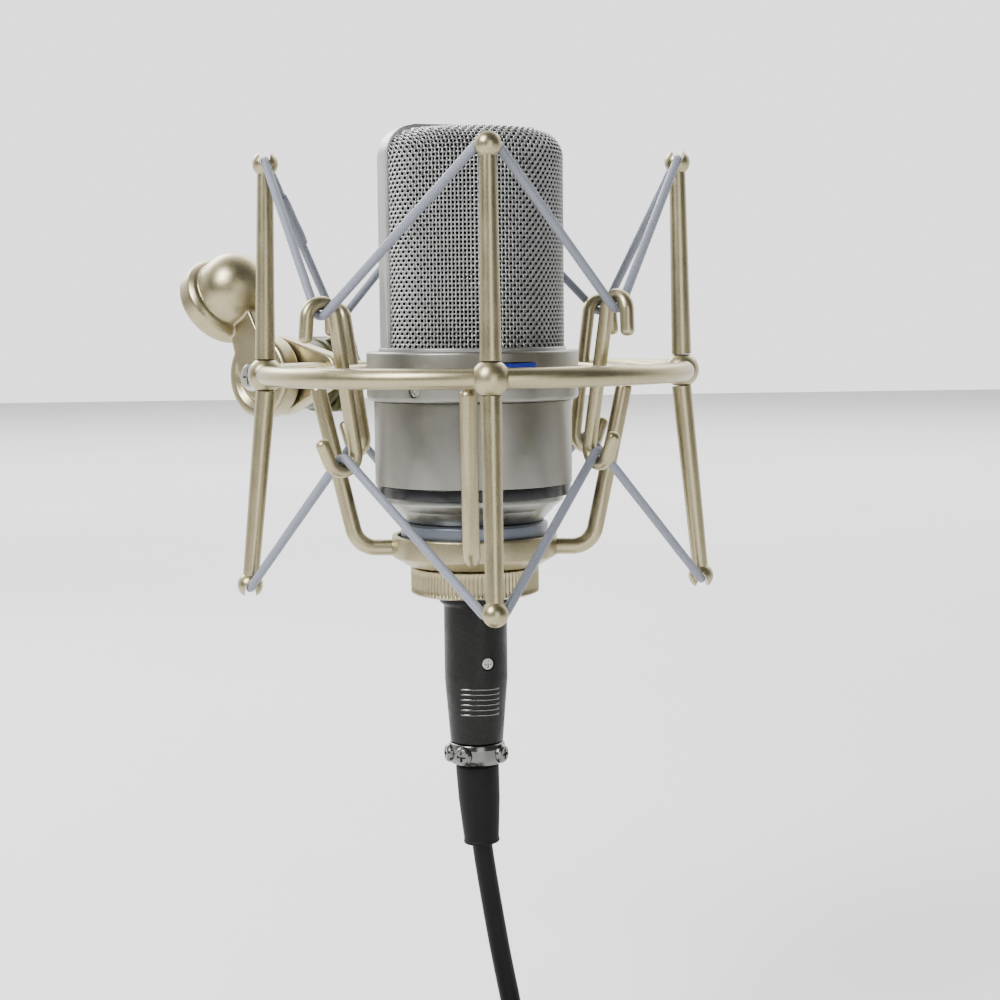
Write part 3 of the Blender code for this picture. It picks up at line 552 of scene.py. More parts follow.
def make_materials():
    m = {}
    m["champagne"] = satin_metal("champagne_metal", (0.40, 0.35, 0.215), 0.33, sparkle=0.22)
    fine = {"grain": 0.28, "depth": 0.012}
    m["nickel"] = satin_metal("satin_nickel", (0.27, 0.265, 0.235), 0.38, sparkle=0.10, **fine)
    m["frame"] = satin_metal("grille_frame_metal", (0.40, 0.40, 0.39), 0.42, sparkle=0.08, **fine)
    m["wire"] = smooth_metal("mesh_wire", (0.37, 0.375, 0.37), 0.30)
    m["liner"] = plain_plastic("mesh_liner", (0.014, 0.014, 0.013), 0.8, 0.5, 0.1)
    m["lip"] = smooth_metal("polished_lip", (0.30, 0.30, 0.28), 0.30)
    m["stem"] = satin_metal("stem_metal", (0.20, 0.22, 0.26), 0.42, grain=0.3, depth=0.01)
    m["gloss"] = plain_plastic("gloss_black", (0.004, 0.004, 0.005), 0.22, 2.0, 0.0005)
    # The knob's dark olive colour is painted shade: champagne-finish metal darkened to the olive it shows in
    # the shadow behind the arm.
    m["knob"] = satin_metal("knob_metal", (0.055, 0.055, 0.022), 0.42, grain=0.4, depth=0.02)
    m["steel"] = smooth_metal("screw_steel", (0.50, 0.50, 0.48), 0.30)
    m["chrome"] = smooth_metal("chrome_clamp", (0.16, 0.16, 0.155), 0.22)
    m["brass"] = smooth_metal("capsule_brass", (0.62, 0.44, 0.18), 0.30)
    m["gold"] = smooth_metal("gold_film", (0.85, 0.62, 0.26), 0.20)
    m["rubber"] = plain_plastic("black_rubber", (0.004, 0.004, 0.004), 0.62, 0.3, 0.03, specular=0.18)
    m["jacket"] = plain_plastic("cable_jacket", (0.004, 0.004, 0.004), 0.55, 0.35, 0.03, specular=0.18)
    m["plastic"] = plain_plastic("black_plastic", (0.03, 0.03, 0.03), 0.5)
    m["fibre"] = plain_plastic("fibre", (0.07, 0.055, 0.04), 0.85, 0.5, 0.08)
    m["board"] = plain_plastic("board_green", (0.02, 0.16, 0.07), 0.4, 1.5, 0.01)
    m["shell"] = crackle("black_shell")
    m["enamel"] = enamel("blue_enamel")
    m["band"] = braid("elastic_cord")
    return m


def crackle(name):
    """Black powder coat with a fine leathery crackle."""
    n = Nodes(name)
    cells = n.node(
        "ShaderNodeTexVoronoi",
        {"Vector": n.coords.outputs["Object"], "Scale": 1 / (0.75 * MM)},
        feature="SMOOTH_F1",
    ).outputs["Distance"]
    patches = n.noise(4, 3)
    # Darker towards the cell edges, which the bump sinks into cracks: painted shade in the cracks.
    colour = n.ramp(cells, [(0.1, (0.009, 0.009, 0.008)), (0.8, (0.0035, 0.0035, 0.0035))])
    rough = n.span(patches, 0.3, 0.7, 0.34, 0.5)
    return n.finish(colour, rough, n.bump(cells, -0.05, 0.8), Specular_IOR_Level=0.2)


def enamel(name):
    n = Nodes(name)
    depth = n.noise(3, 3)
    colour = n.ramp(depth, [(0.3, (0.006, 0.013, 0.17)), (0.7, (0.012, 0.028, 0.28))])
    return n.finish(colour, n.span(depth, 0.3, 0.7, 0.18, 0.26), n.bump(depth, 0.02), Coat_Weight=0.6)


BRAID_THREADS, BRAID_PER_MM = 10, 1.15


def braid(name):
    """A woven sleeve of fine threads over rubber. u runs round the cord, v along it in mm."""
    n = Nodes(name)
    u, v = n.uv()
    across = n.math("MULTIPLY", u, BRAID_THREADS)
    length = n.math("MULTIPLY", v, BRAID_PER_MM)
    one = n.math("FRACT", n.math("ADD", across, length))
    two = n.math("FRACT", n.math("SUBTRACT", across, length))
    ridge_one = n.math("SINE", n.math("MULTIPLY", one, math.pi))
    ridge_two = n.math("SINE", n.math("MULTIPLY", two, math.pi))
    turn = n.math("GREATER_THAN", n.math("FRACT", n.math("MULTIPLY", n.math("ADD", one, two), 0.999)), 0.5)
    over = n.math("MULTIPLY", ridge_one, turn)
    under = n.math("MULTIPLY", ridge_two, n.math("SUBTRACT", 1.0, turn))
    height = n.math("ADD", over, under)
    fuzz = n.noise(0.25, 4)
    # The colour follows the threads' height, lighter on their crowns and darker at their edges and in the
    # gaps between them: painted shade.
    stops = [(0.0, (0.07, 0.078, 0.10)), (0.5, (0.17, 0.185, 0.235)), (1.0, (0.26, 0.28, 0.34))]
    colour = n.ramp(height, stops)
    colour = n.mix(0.35, colour, n.ramp(fuzz, [(0.3, (0.13, 0.14, 0.18)), (0.7, (0.28, 0.30, 0.36))]))
    return n.finish(colour, n.span(fuzz, 0.3, 0.7, 0.36, 0.52), n.bump(height, 0.06))


M = make_materials()


def dress(thing, material, body=None, stands_for=()):
    """Gives a finished piece its material and its body, and hides the CAD nodes that it stands for."""
    thing.data.materials.clear()
    thing.data.materials.append(M[material])
    if stands_for:
        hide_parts(*stands_for)
    if body:
        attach(thing, body)
    return thing


def dress_nodes(material, *names):
    """Better materials on CAD nodes whose plain shape is right."""
    for name in names:
        node = NODES[name]
        for slot in node.material_slots:
            slot.material = M[material]
        if not node.material_slots:
            node.data.materials.append(M[material])


# ---------------------------------------------------------------- outer frame

RING_R, RING_TUBE = 65.6, 3.0
JOINT_BALL, JOINT_FLAT = 5.55, 4.9  # the joint balls, and the height at which they are cut flat
UPPER_TIP, LOWER_TIP = (64.3, 65.1), (71.8, -65.9)  # radius and height of the rods' tips
ROD_FOOT, ROD_NECK = 3.1, 2.55
TIP_BALL, SLOT_R = 4.0, 1.62
BAND_R = 1.35


def make_outer_frame():
    ring = torus("frame_ring", RING, RING_R, RING_TUBE)
    for i in range(4):
        place = RING + polar(RING_R, i * math.pi / 2)
        side = arc((0, 0), JOINT_BALL, math.radians(62), math.radians(-62), 16)
        joint = lathe("joint", [(0, JOINT_FLAT), *side, (0, -JOINT_FLAT)], Matrix.Translation(place), 64)
        boolean(ring, [joint], "UNION", 38)
    dress(ring, "champagne", "outer_frame", ["outer_ring"])
    for level, tip, sign in (("upper", UPPER_TIP, 1), ("lower", LOWER_TIP, -1)):
        for i, side in enumerate(SIDES):
            make_rod(f"{level}_rod_{side}", i * math.pi / 2, tip, sign)


def make_rod(node, angle, tip, sign):
    """A tapered rod with a slotted ball. The slot runs tangentially and opens away from the ring."""
    foot = RING + polar(RING_R, angle, sign * (JOINT_FLAT + 0.15))
    end = RING + polar(tip[0], angle, tip[1])
    length = (end - foot).length / MM
    neck = math.asin(2.5 / TIP_BALL)
    profile = [
        (0, length + TIP_BALL),
        *arc((0, length), TIP_BALL, math.radians(84), -math.pi / 2 + neck, 20),
        (ROD_NECK, length - TIP_BALL + 0.1), (ROD_FOOT, 0.5, 0.6), (ROD_FOOT, 0), (0, 0),
    ]
    rod = lathe(f"{node}_turned", profile, along(foot, end), 40, sharp=50)
    place = Matrix.Translation(end) @ Matrix.Rotation(angle, 4, "Z") @ Matrix.Scale(sign, 4, UP)
    outline = [(-SLOT_R, 1.0), *arc((0, 1.0), SLOT_R, math.pi, 2 * math.pi, 14), (2.25, 6.0), (-2.25, 6.0)]
    slot = plate("slot", outline, 14, place @ Matrix.Rotation(math.pi / 2, 4, "X"), 0.001, 0)
    if sign < 0:
        slot.data.flip_normals()
    boolean(rod, [slot], sharp=40)
    edge = rod.modifiers.new("edge", "BEVEL")
    edge.width = 0.25 * MM
    edge.segments = 2
    edge.limit_method = "ANGLE"
    edge.angle_limit = math.radians(50)
    settle(rod)
    rod.data.shade_smooth()
    dress(rod, "champagne", "outer_frame", [node])


# ---------------------------------------------------------------- cradle

HOOK_WIRE, HOOK_ARCH, HOOK_TURN = 2.1, 4.6, math.radians(166)
HOOK_TIP_UP = 2.6  # from the start of a lower arch up to its tip
INSET = 0.02  # keeps a round wire inside the CAD's
# azimuth, radius at the ring's height, lean, where the two arches start, their twist, drop of the upper tip
HOOKS = {
    "back_right": (47.0, 52.25, 0.180, 18.9, -20.9, -14.0, 6.2),
    "back_left": (139.7, 53.1, 0.205, 17.2, -21.3, -11.0, 4.0),
    "front_left": (226.0, 53.15, 0.181, 18.0, -22.4, -11.5, 6.2),
    "front_right": (317.0, 52.3, 0.176, 19.3, -20.9, -10.0, 6.2),
}
CRADLE_RING_R, CRADLE_RING_SHIFT, CRADLE_RING_TUBE = 48.0, -0.6, 2.2
LEG_WIRE, LEG_TOP, LEG_FOOT, LEG_BEND = 2.6, (48.1, -5.2), (37.1, -55.2), 7.5
CUP_R = 26.2
KNURL_RIBS, KNURL_DEPTH, KNURL_LOW, KNURL_HIGH = 100, 0.32, -68.9, -61.6


class Hook:
    """A double hook of bent wire, in metres from the cradle's axis."""

    def __init__(self, azimuth, radius, lean, top, bottom, twist, tip_down):
        angle = math.radians(azimuth) + CRADLE_YAW
        self.way = Vector((lean * math.cos(angle), lean * math.sin(angle), 1)).normalized()
        self.middle = AXIS + polar(radius, angle)
        facing = polar(1, angle + math.radians(twist)) / MM
        self.out = (facing - self.way * facing.dot(self.way)).normalized()
        self.starts = {
            sign: self.middle + self.way * (height * MM / self.way.z)
            for sign, height in ((1, top), (-1, bottom))
        }
        self.tip_down = tip_down

    def arch(self, sign, drop, count=26):
        """The upper (1) or lower (-1) arch, from the wire out to its tip."""
        start = self.starts[sign]
        points = []
        for i in range(count + 1):
            turn = HOOK_TURN * i / count
            offset = self.way * (sign * math.sin(turn)) + self.out * (1 - math.cos(turn))
            points.append(start + offset * HOOK_ARCH * MM)
        onward = self.way * (sign * math.cos(HOOK_TURN)) + self.out * math.sin(HOOK_TURN)
        end = points[-1] + onward * ((start.z - sign * drop * MM - points[-1].z) / onward.z)
        return points + [points[-1].lerp(end, 0.5), end]

    def path(self):
        upper, lower = self.arch(1, self.tip_down)[::-1], self.arch(-1, HOOK_TIP_UP)
        return upper + [upper[-1].lerp(lower[0], k / 8) for k in range(1, 8)] + lower

    def band_seat(self, sign):
        """Where the band's middle lies, inside the top of the arch."""
        inside = HOOK_ARCH - HOOK_WIRE - BAND_R - 0.25
        return self.starts[sign] + (self.out * HOOK_ARCH + self.way * (sign * inside)) * MM


def leg_path(angle):
    foot = Vector(LEG_FOOT)
    top = Vector(LEG_TOP) + Vector((CRADLE_RING_SHIFT * math.cos(angle), 0))
    rise = math.atan2(top.y - foot.y, top.x - foot.x)
    cut = LEG_BEND * math.tan(rise / 2)
    curve = arc((foot.x - cut, foot.y + LEG_BEND), LEG_BEND, -math.pi / 2, -math.pi / 2 + rise, 18)
    line = [(CUP_R - 0.5, foot.y), *curve, tuple(top.lerp(Vector(curve[-1]), 0.5)), tuple(top)]
    return [AXIS + polar(r, angle + CRADLE_YAW, z) for r, z in line]


def make_cradle():
    centre = AXIS + polar(CRADLE_RING_SHIFT, CRADLE_YAW)
    ring = torus("cradle_hoop", centre, CRADLE_RING_R, CRADLE_RING_TUBE, 128, 20)
    dress(ring, "champagne", "cradle", ["cradle_ring"])
    for i, side in enumerate(SIDES):
        leg = tube(f"leg_{side}", leg_path(i * math.pi / 2), (LEG_WIRE - INSET) * MM, 28, (0, 0.75))
        dress(leg, "champagne", "cradle", [f"cradle_leg_{side}"])
    for corner in CORNERS:
        path = Hook(*HOOKS[corner]).path()
        hook = tube(f"hook_{corner}", path, (HOOK_WIRE - INSET) * MM, 24, (0.85, 0.85))
        dress(hook, "champagne", "cradle", [f"hook_wire_{corner}"])
    place = Matrix.Translation(AXIS)
    cup = [
        (CUP_R, -50.8, 0.7), (CUP_R, -57.5, 0.5), (21.2, -60.5, 0.4), (15.9, -60.5), (15.9, -54.1),
        (24.4, -54.1), (24.4, -50.8, 0.5),
    ]
    dress(lathe("cup_turned", cup, place, 128, closed=True), "champagne", "cradle", ["cradle_cup"])

    def knurl(angle, height):
        if KNURL_LOW < height < KNURL_HIGH:
            return -KNURL_DEPTH * (0.5 + 0.5 * math.cos(angle * KNURL_RIBS)) ** 0.6
        return 0

    nut = [
        (19.2, -60.8, 0.3), (20.3, -61.3, 0.2), (20.3, -61.7), (20.3, -63.2), (20.3, -65.2), (20.3, -67.2),
        (20.3, -68.8), (20.3, -69.2, 0.2), (19.2, -69.8, 0.2), (15.5, -69.8), (15.5, -60.8),
    ]
    steps = KNURL_RIBS * 8
    nut = lathe("lock_nut_knurled", nut, place, steps, closed=True, ripple=knurl, sharp=50, corner=2)
    dress(nut, "champagne", "lock_nut", ["lock_nut"])


# ---------------------------------------------------------------- elastic bands

TIP_BEND, HOOK_BEND = 4.2, 3.2  # radius of the bands' bends round the tip balls and in the hooks


def bend(before, corner, after, radius, count):
    """A round bend that touches corner with its middle, from the line before to the line after."""
    arrive = (corner - before).normalized()
    leave = (after - corner).normalized()
    inward = (leave - arrive).normalized()
    half = arrive.angle(leave) / 2
    centre = corner + inward * radius
    forward = (arrive + leave).normalized()
    return [
        centre - inward * radius * math.cos(half * i / count) + forward * radius * math.sin(half * i / count)
        for i in range(-count, count + 1)
    ]


def make_bands():
    """Each loop is cut into the spans between a tip ball and a hook."""
    shapes = [Hook(*HOOKS[corner]) for corner in CORNERS]
    for level, tip, sign in (("upper", UPPER_TIP, 1), ("lower", LOWER_TIP, -1)):
        tips = [RING + polar(tip[0], i * math.pi / 2, tip[1] + sign * 1.0) for i in range(4)]
        hooks = [shape.band_seat(sign) for shape in shapes]
        corners = [p for pair in zip(tips, hooks) for p in pair]
        bends = []
        for k, corner in enumerate(corners):
            radius = TIP_BEND if k % 2 == 0 else HOOK_BEND
            bends.append(bend(corners[k - 1], corner, corners[(k + 1) % 8], radius * MM, 8))
        spans = []
        for k in range(8):
            following = (k + 1) % 8
            leave, arrive = bends[k][8:], bends[following][:9]
            straight = [leave[-1].lerp(arrive[0], t / 24) for t in range(1, 24)]
            span = tube(f"{level}_band_{k + 1}", leave + straight + arrive, BAND_R * MM, 18, (0, 0))
            ends = corners[k], corners[following]
            spans.append((span, *(ends if k % 2 == 0 else ends[::-1])))
        for span, tip_end, hook_end in spans:
            dress(span, "band", None, [f"{level}_band"])
            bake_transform(span)
        if level == "upper":
            make_sleeve(spans[3])


def make_sleeve(span):
    """The crimped sleeve that joins the band's ends."""
    _, tip_end, hook_end = span
    along_span = (hook_end - tip_end).normalized()
    start = middle("band_sleeve") - along_span * 10 * MM
    profile = [(1.9, 20, 0.4), (2.1, 16, 3), (2.0, 10, 3), (2.1, 4, 3), (1.9, 0, 0.4), (1.4, 0), (1.4, 20)]
    sleeve = lathe("band_sleeve_crimped", profile, along(start, start + along_span), 40, closed=True)
    dress(sleeve, "band", "outer_frame", ["band_sleeve"])


# ---------------------------------------------------------------- swivel

# Heights here are along the hinge's axis, from the middle of the arm.
BOLT_HOLE = 3.2
ARM_R, ARM_THICK, ARM_REACH, ARM_DROP, GRIP_R = 13.7, 6, 89.0, 2.0, 5.8
EAR_FRONT, EAR_R, EAR_THICK, EAR_DISH = -11.5, 14.2, 7.2, 2.0
SOCKET_CENTRE, SOCKET_TILT, SOCKET_LENGTH = (13.3, 30.0), math.radians(30), 12.6
DOME_R, FLANGE_R, NECK_END = 12.4, 15.2, 0.66
BORE_R, THREAD_TURNS, THREAD_PITCH, THREAD_STEPS = 8.0, 11, 0.94, 28
FERRULE_R, KNOB_R, KNOB_LOBE, KNOB_LOBES = 12.5, 13.4, 1.3, 6


def hinge_matrix():
    """X runs out from the ring, Y up and Z along the hinge's axis."""
    out = UP.cross(HINGE_AXIS)
    return Matrix.Translation(HINGE) @ Matrix((out, UP, HINGE_AXIS)).transposed().to_4x4()


def tangent_outline(big_radius, small, small_radius):
    """The outline round a big circle at the origin and a small one, joined by their tangents."""
    small = Vector(small)
    way = math.atan2(small.y, small.x)
    opening = math.acos((big_radius - small_radius) / small.length)
    far = arc((0, 0), big_radius, way + opening, way + 2 * math.pi - opening, 64)
    near = arc(small, small_radius, way - opening, way + opening, 32)
    return far + near


def bolt_hole(hinge):
    return lathe("bore", [(0, 20), (BOLT_HOLE, 20), (BOLT_HOLE, -20), (0, -20)], hinge, 40)


def make_swivel():
    hinge = hinge_matrix()
    grip = (RING_R - ARM_REACH, ARM_DROP)
    arm = plate("arm_plate", tangent_outline(ARM_R, grip, GRIP_R), ARM_THICK, hinge, 0.9, 4)
    tunnel = torus("tunnel", RING, RING_R, RING_TUBE + 0.12, 96, 24)
    boolean(arm, [bolt_hole(hinge), tunnel])
    dress(arm, "champagne", "outer_frame", ["swivel_arm"])
    make_socket(hinge)
    make_hinge_screw(hinge)
    make_knob(hinge)


def make_socket(hinge):
    """The domed stand socket with its flanged mouth, blended into a dished ear by a neck."""
    centre = Vector((*SOCKET_CENTRE, EAR_FRONT + 3))
    mouth = Vector((math.cos(SOCKET_TILT), -math.sin(SOCKET_TILT), 0))
    socket_frame = hinge @ along(centre * MM, (centre - mouth) * MM)
    dome = [
        (0, DOME_R),
        *arc((0, 0), DOME_R, math.radians(86), 0, 16),
        (DOME_R, -4.0, 0.4), (13.7, -4.4, 0.8), (FLANGE_R, -6.0, 1.8), (FLANGE_R, -11.2, 1.2),
        (14.0, -SOCKET_LENGTH, 0.6), (0, -SOCKET_LENGTH),
    ]
    socket = lathe("socket_casting", dome, socket_frame, 96)
    back, dish = EAR_FRONT + EAR_THICK, EAR_FRONT + EAR_DISH
    ear = [
        (0, back), (EAR_R, back, 0.6), (EAR_R, EAR_FRONT, 1.5), (11.0, EAR_FRONT, 0.8), (8.6, dish, 0.8),
        (0, dish),
    ]
    ear = lathe("ear", ear, hinge, 96)
    neck = tangent_outline(8.5, [NECK_END * part for part in SOCKET_CENTRE], 6.0)
    neck = plate("neck", neck, 6.0, hinge @ Matrix.Translation((0, 0, (EAR_FRONT + 3) * MM)), 0.8)
    boolean(socket, [ear, neck], "UNION")
    melt(socket, 0.36, 0.5, 3)
    mouth_cut = lathe("mouth", [(0, 1.5), (BORE_R, 1.5), (BORE_R, -16), (0, -16)], socket_frame, 64)
    boolean(socket, [mouth_cut, bolt_hole(hinge)], sharp=32)
    dress(socket, "champagne", "stand_adapter", ["stand_socket"])

    path = []
    for k in range(THREAD_TURNS * THREAD_STEPS):
        place = polar(BORE_R - 0.08, 2 * math.pi * k / THREAD_STEPS, -1.2 - THREAD_PITCH * k / THREAD_STEPS)
        path.append(socket_frame @ place)
    dress(tube("socket_thread", path, 0.30 * MM, 6), "champagne", "stand_adapter")


def make_hinge_screw(hinge):
    head = EAR_FRONT + EAR_DISH - 0.3
    screw = [
        (0, 24), (2.9, 24), (2.9, head), (5.0, head), (5.0, head - 4.0, 0.9), (3.8, head - 5.5, 1.0),
        (0, head - 5.6),
    ]
    screw = lathe("hinge_screw_turned", screw, hinge, 64)
    boolean(screw, cross(hinge, 0.45, 2.6, head - 6, head - 4.2, 0.1, 3))
    dress(screw, "steel", "stand_adapter", ["hinge_screw"])
    washer = [(12.2, -3.3, 0.1), (12.2, -4.0, 0.1), (BOLT_HOLE, -4.0), (BOLT_HOLE, -3.3)]
    washer = lathe("washer_pressed", washer, hinge, 64, closed=True)
    dress(washer, "fibre", "stand_adapter", ["friction_washer"])


def make_knob(hinge):
    hub = [
        (FERRULE_R, 18.0, 0.8), (FERRULE_R, 15.2, 0.4), (11.9, 14.6, 0.4), (11.9, 6.4, 0.4),
        (FERRULE_R, 5.8, 0.4), (FERRULE_R, 3.3, 0.6), (BOLT_HOLE, 3.3), (BOLT_HOLE, 18.0),
    ]
    dress(lathe("knob_hub", hub, hinge, 96, closed=True), "knob", "clamp_knob", ["knob_ferrule"])
    outline = []
    for i in range(180):
        a = 2 * math.pi * i / 180
        radius = KNOB_R + KNOB_LOBE * math.cos(KNOB_LOBES * a)
        outline.append((radius * math.cos(a), radius * math.sin(a)))
    knob = plate("knob_lobed", outline, 10.5, hinge @ Matrix.Translation((0, 0, 23.55 * MM)), 1.8, 5)
    dimple = lathe("dimple", [(0, 32), (7.5, 32), (7.0, 27.9, 0.8), (0, 27.9)], hinge, 48)
    boolean(knob, [dimple])
    dress(knob, "knob", "clamp_knob", ["clamp_knob"])


# ---------------------------------------------------------------- microphone

GRILLE_R, GRILLE_TOP, GRILLE_CORNER, CROWN = 29.1, 76.1, 9.5, 0.4
GRILLE_FOOT = 6.9
FRAME_HALF, FRAME_THICK = 3.9, 1.8
WEAVE_INSET, WEAVE_DROP, WEAVE_CORNER = 0.70, 1.1, 7.8
LINER_OUT, LINER_IN = 1.25, 1.50  # the dark liner's two faces, as insets like the weave's
PITCH, COLUMN_PITCH = 1.30, 1.17
MESH_R = 0.29


def mic_matrix():
    return Matrix.Translation(AXIS) @ Matrix.Rotation(MIC_YAW, 4, "Z")


def skin_profile(inset, bottom):
    """(radius, height) from the bottom up the grille's side, round its corner and in to the centre."""
    radius, corner = GRILLE_R - inset, WEAVE_CORNER - inset + WEAVE_INSET
    flat = radius - corner
    centre = GRILLE_TOP - WEAVE_DROP - inset - corner
    points = [(radius, bottom + (centre - bottom) * k / 60) for k in range(60)]
    points += arc((flat, centre), corner, 0, math.pi / 2, 16)
    for k in range(1, 25):
        out = 1 - k / 24
        points.append((flat * out, centre + corner + CROWN * (1 - out**2)))
    return points


class Skin:
    """The grille's curved surface, by distance up its profile."""

    def __init__(self, inset, bottom):
        self.points = skin_profile(inset, bottom)
        self.lengths = [0.0]
        for a, b in zip(self.points, self.points[1:]):
            self.lengths.append(self.lengths[-1] + math.dist(a, b))
        self.total = self.lengths[-1]

    def place(self, s):
        """(radius, height, normal radius part, normal height part) at distance s."""
        s = min(max(s, 0), self.total - 1e-6)
        low, high = 0, len(self.lengths) - 1
        while high - low > 1:
            half = (low + high) // 2
            if self.lengths[half] <= s:
                low = half
            else:
                high = half
        share = (s - self.lengths[low]) / (self.lengths[high] - self.lengths[low])
        a, b = Vector(self.points[low]), Vector(self.points[high])
        way = (b - a).normalized()
        here = a.lerp(b, share)
        return here.x, here.y, way.y, -way.x


def make_weave(side, sign, matrix):
    """Woven wires over half of the grille: uprights kept at their own x, and hoops round the axis."""
    skin = Skin(WEAVE_INSET, 7.2)
    edge = FRAME_HALF + 0.15
    radius = GRILLE_R - WEAVE_INSET
    limit = math.acos(edge / radius)
    half_count = int(limit * radius / COLUMN_PITCH)
    hoops = int(skin.total / PITCH)
    pieces = []

    def wave(point, normal, phase):
        return point + normal * (MESH_R * math.cos(phase))

    def add_wire(path):
        if len(path) > 3:
            pieces.append([matrix @ (Vector((-sign * p.x, sign * p.y, p.z)) * MM) for p in path])

    for i in range(-half_count, half_count + 1):
        x = radius * math.sin(i * COLUMN_PITCH / radius)
        path = []
        steps = hoops * 4
        for k in range(steps + 1):
            s = skin.total * k / steps
            r, z, nr, nz = skin.place(s)
            if r <= abs(x) or math.sqrt(r * r - x * x) < edge:
                break
            y = math.sqrt(r * r - x * x)
            normal = Vector((nr * x / r, nr * y / r, nz))
            path.append(wave(Vector((x, y, z)), normal, math.pi * (s / PITCH + i)))
        add_wire(path)
    for j in range(hoops):
        s = (j + 0.5) * PITCH
        r, z, nr, nz = skin.place(s)
        if r < edge * 1.15:
            break
        end = math.acos(edge / r)
        steps = max(int(2 * end * r / PITCH * 4), 8)
        path = []
        for k in range(steps + 1):
            a = -end + 2 * end * k / steps
            x, y = r * math.sin(a), r * math.cos(a)
            place = math.asin(max(-1, min(1, x / radius))) * radius / COLUMN_PITCH
            normal = Vector((nr * math.sin(a), nr * math.cos(a), nz))
            path.append(wave(Vector((x, y, z)), normal, math.pi * (place + j + 1)))
        add_wire(path)
    return wires(f"grille_weave_{side}", pieces, MESH_R * MM)


def wires(name, paths, radius, sides=5):
    """Many thin wires as one mesh."""
    points, faces = [], []
    for path in paths:
        base = len(points)
        for p, s, u, _ in frames_along(path):
            points += circle(p, s, u, radius, sides)
        rows = [list(range(start, start + sides)) for start in range(base, len(points), sides)]
        faces += stitch(rows, sides, lambda k, n: None, flip=True)[0]
        faces += [rows[0][::-1], rows[-1]]
    return build(name, points, faces)


def frame_side(inset):
    """The frame's outline from its corner down its side, moved inward by inset."""
    centre = (GRILLE_R - GRILLE_CORNER, GRILLE_TOP - GRILLE_CORNER)
    return [*arc(centre, GRILLE_CORNER - inset, math.radians(84), 0, 14), (GRILLE_R - inset, GRILLE_FOOT)]


def make_grille(matrix):
    outer = [(0, GRILLE_TOP + CROWN), (GRILLE_R - GRILLE_CORNER, GRILLE_TOP + 0.25), *frame_side(0)]
    inner = [(0, GRILLE_TOP - FRAME_THICK + CROWN), *frame_side(FRAME_THICK)]
    outline = [(-x, z) for x, z in outer[:0:-1]] + outer + inner[::-1] + [(-x, z) for x, z in inner[1:]]
    upright = matrix @ Matrix.Rotation(math.pi / 2, 4, "X")
    frame_piece = plate("grille_hoop", outline, 2 * FRAME_HALF, upright, 0.45, 3)
    foot = [(29.4, 8.0, 0.3), (29.4, -5.0), (27.6, -5.0), (27.6, 8.0)]
    foot = lathe("foot", foot, matrix, 96, closed=True)
    boolean(frame_piece, [foot], "UNION")
    dress(frame_piece, "frame", "cradle", ["grille_frame"])
    for side, sign in (("front", -1), ("back", 1)):
        weave = make_weave(side, sign, matrix)
        dress(weave, "wire", "cradle", [f"grille_{side}"])
        skins = skin_profile(LINER_OUT, 7.0)[::-1] + skin_profile(LINER_IN, 7.0)
        liner = lathe(f"grille_liner_{side}", skins, matrix, 96)
        low = (-40, -50 if sign > 0 else -FRAME_HALF, -10)
        high = (40, FRAME_HALF if sign > 0 else 50, 100)
        boolean(liner, [block("cut", low, high, matrix, 0)])
        dress(liner, "liner", "cradle", [f"grille_{side}"])


def phillips(name, place, radius, depth=0.9):
    """A countersunk cross-recess screw head, flush with the surface at z = 0."""
    top = [(0, -0.15), (radius - 0.3, -0.15, 0.2), (radius, -0.35, 0.1), (radius * 0.7, -1.9), (0, -1.9)]
    head = lathe(name, top, place, 40)
    return boolean(head, cross(place, radius * 0.16, radius * 0.62, -depth, 0.3, 0.06))


COLLAR_R, COLLAR_SCREW_Z, COLLAR_SCREW_TURN = 33.3, -4.9, -143.5
BODY_TUBE = [(31.1, -8.6, 0.15), (31.1, -34.6, 0.15), (29.4, -34.6), (29.4, -8.6)]
GLOSS_BAND = [(30.75, -34.7, 0.2), (30.75, -38.15, 0.2), (27.0, -38.15), (27.0, -34.7)]
LIP = [
    (28.4, -38.3, 0.3), (28.4, -39.9, 0.5), (25.4, -42.4, 0.6), (21.9, -46.4, 0.4), (15.2, -46.6),
    (15.2, -38.3),
]
STEM = [
    (22.0, -46.65, 0.2), (23.3, -47.3, 0.4), (23.3, -53.8, 0.3), (15.2, -53.8), (15.2, -68.5),
    (12.2, -68.5), (12.2, -46.65),
]


def facing_out(matrix, radius, angle, height):
    """A frame on a round part's side, with Z pointing away from the axis."""
    return matrix @ along(polar(radius, angle, height), polar(radius + 10, angle, height))


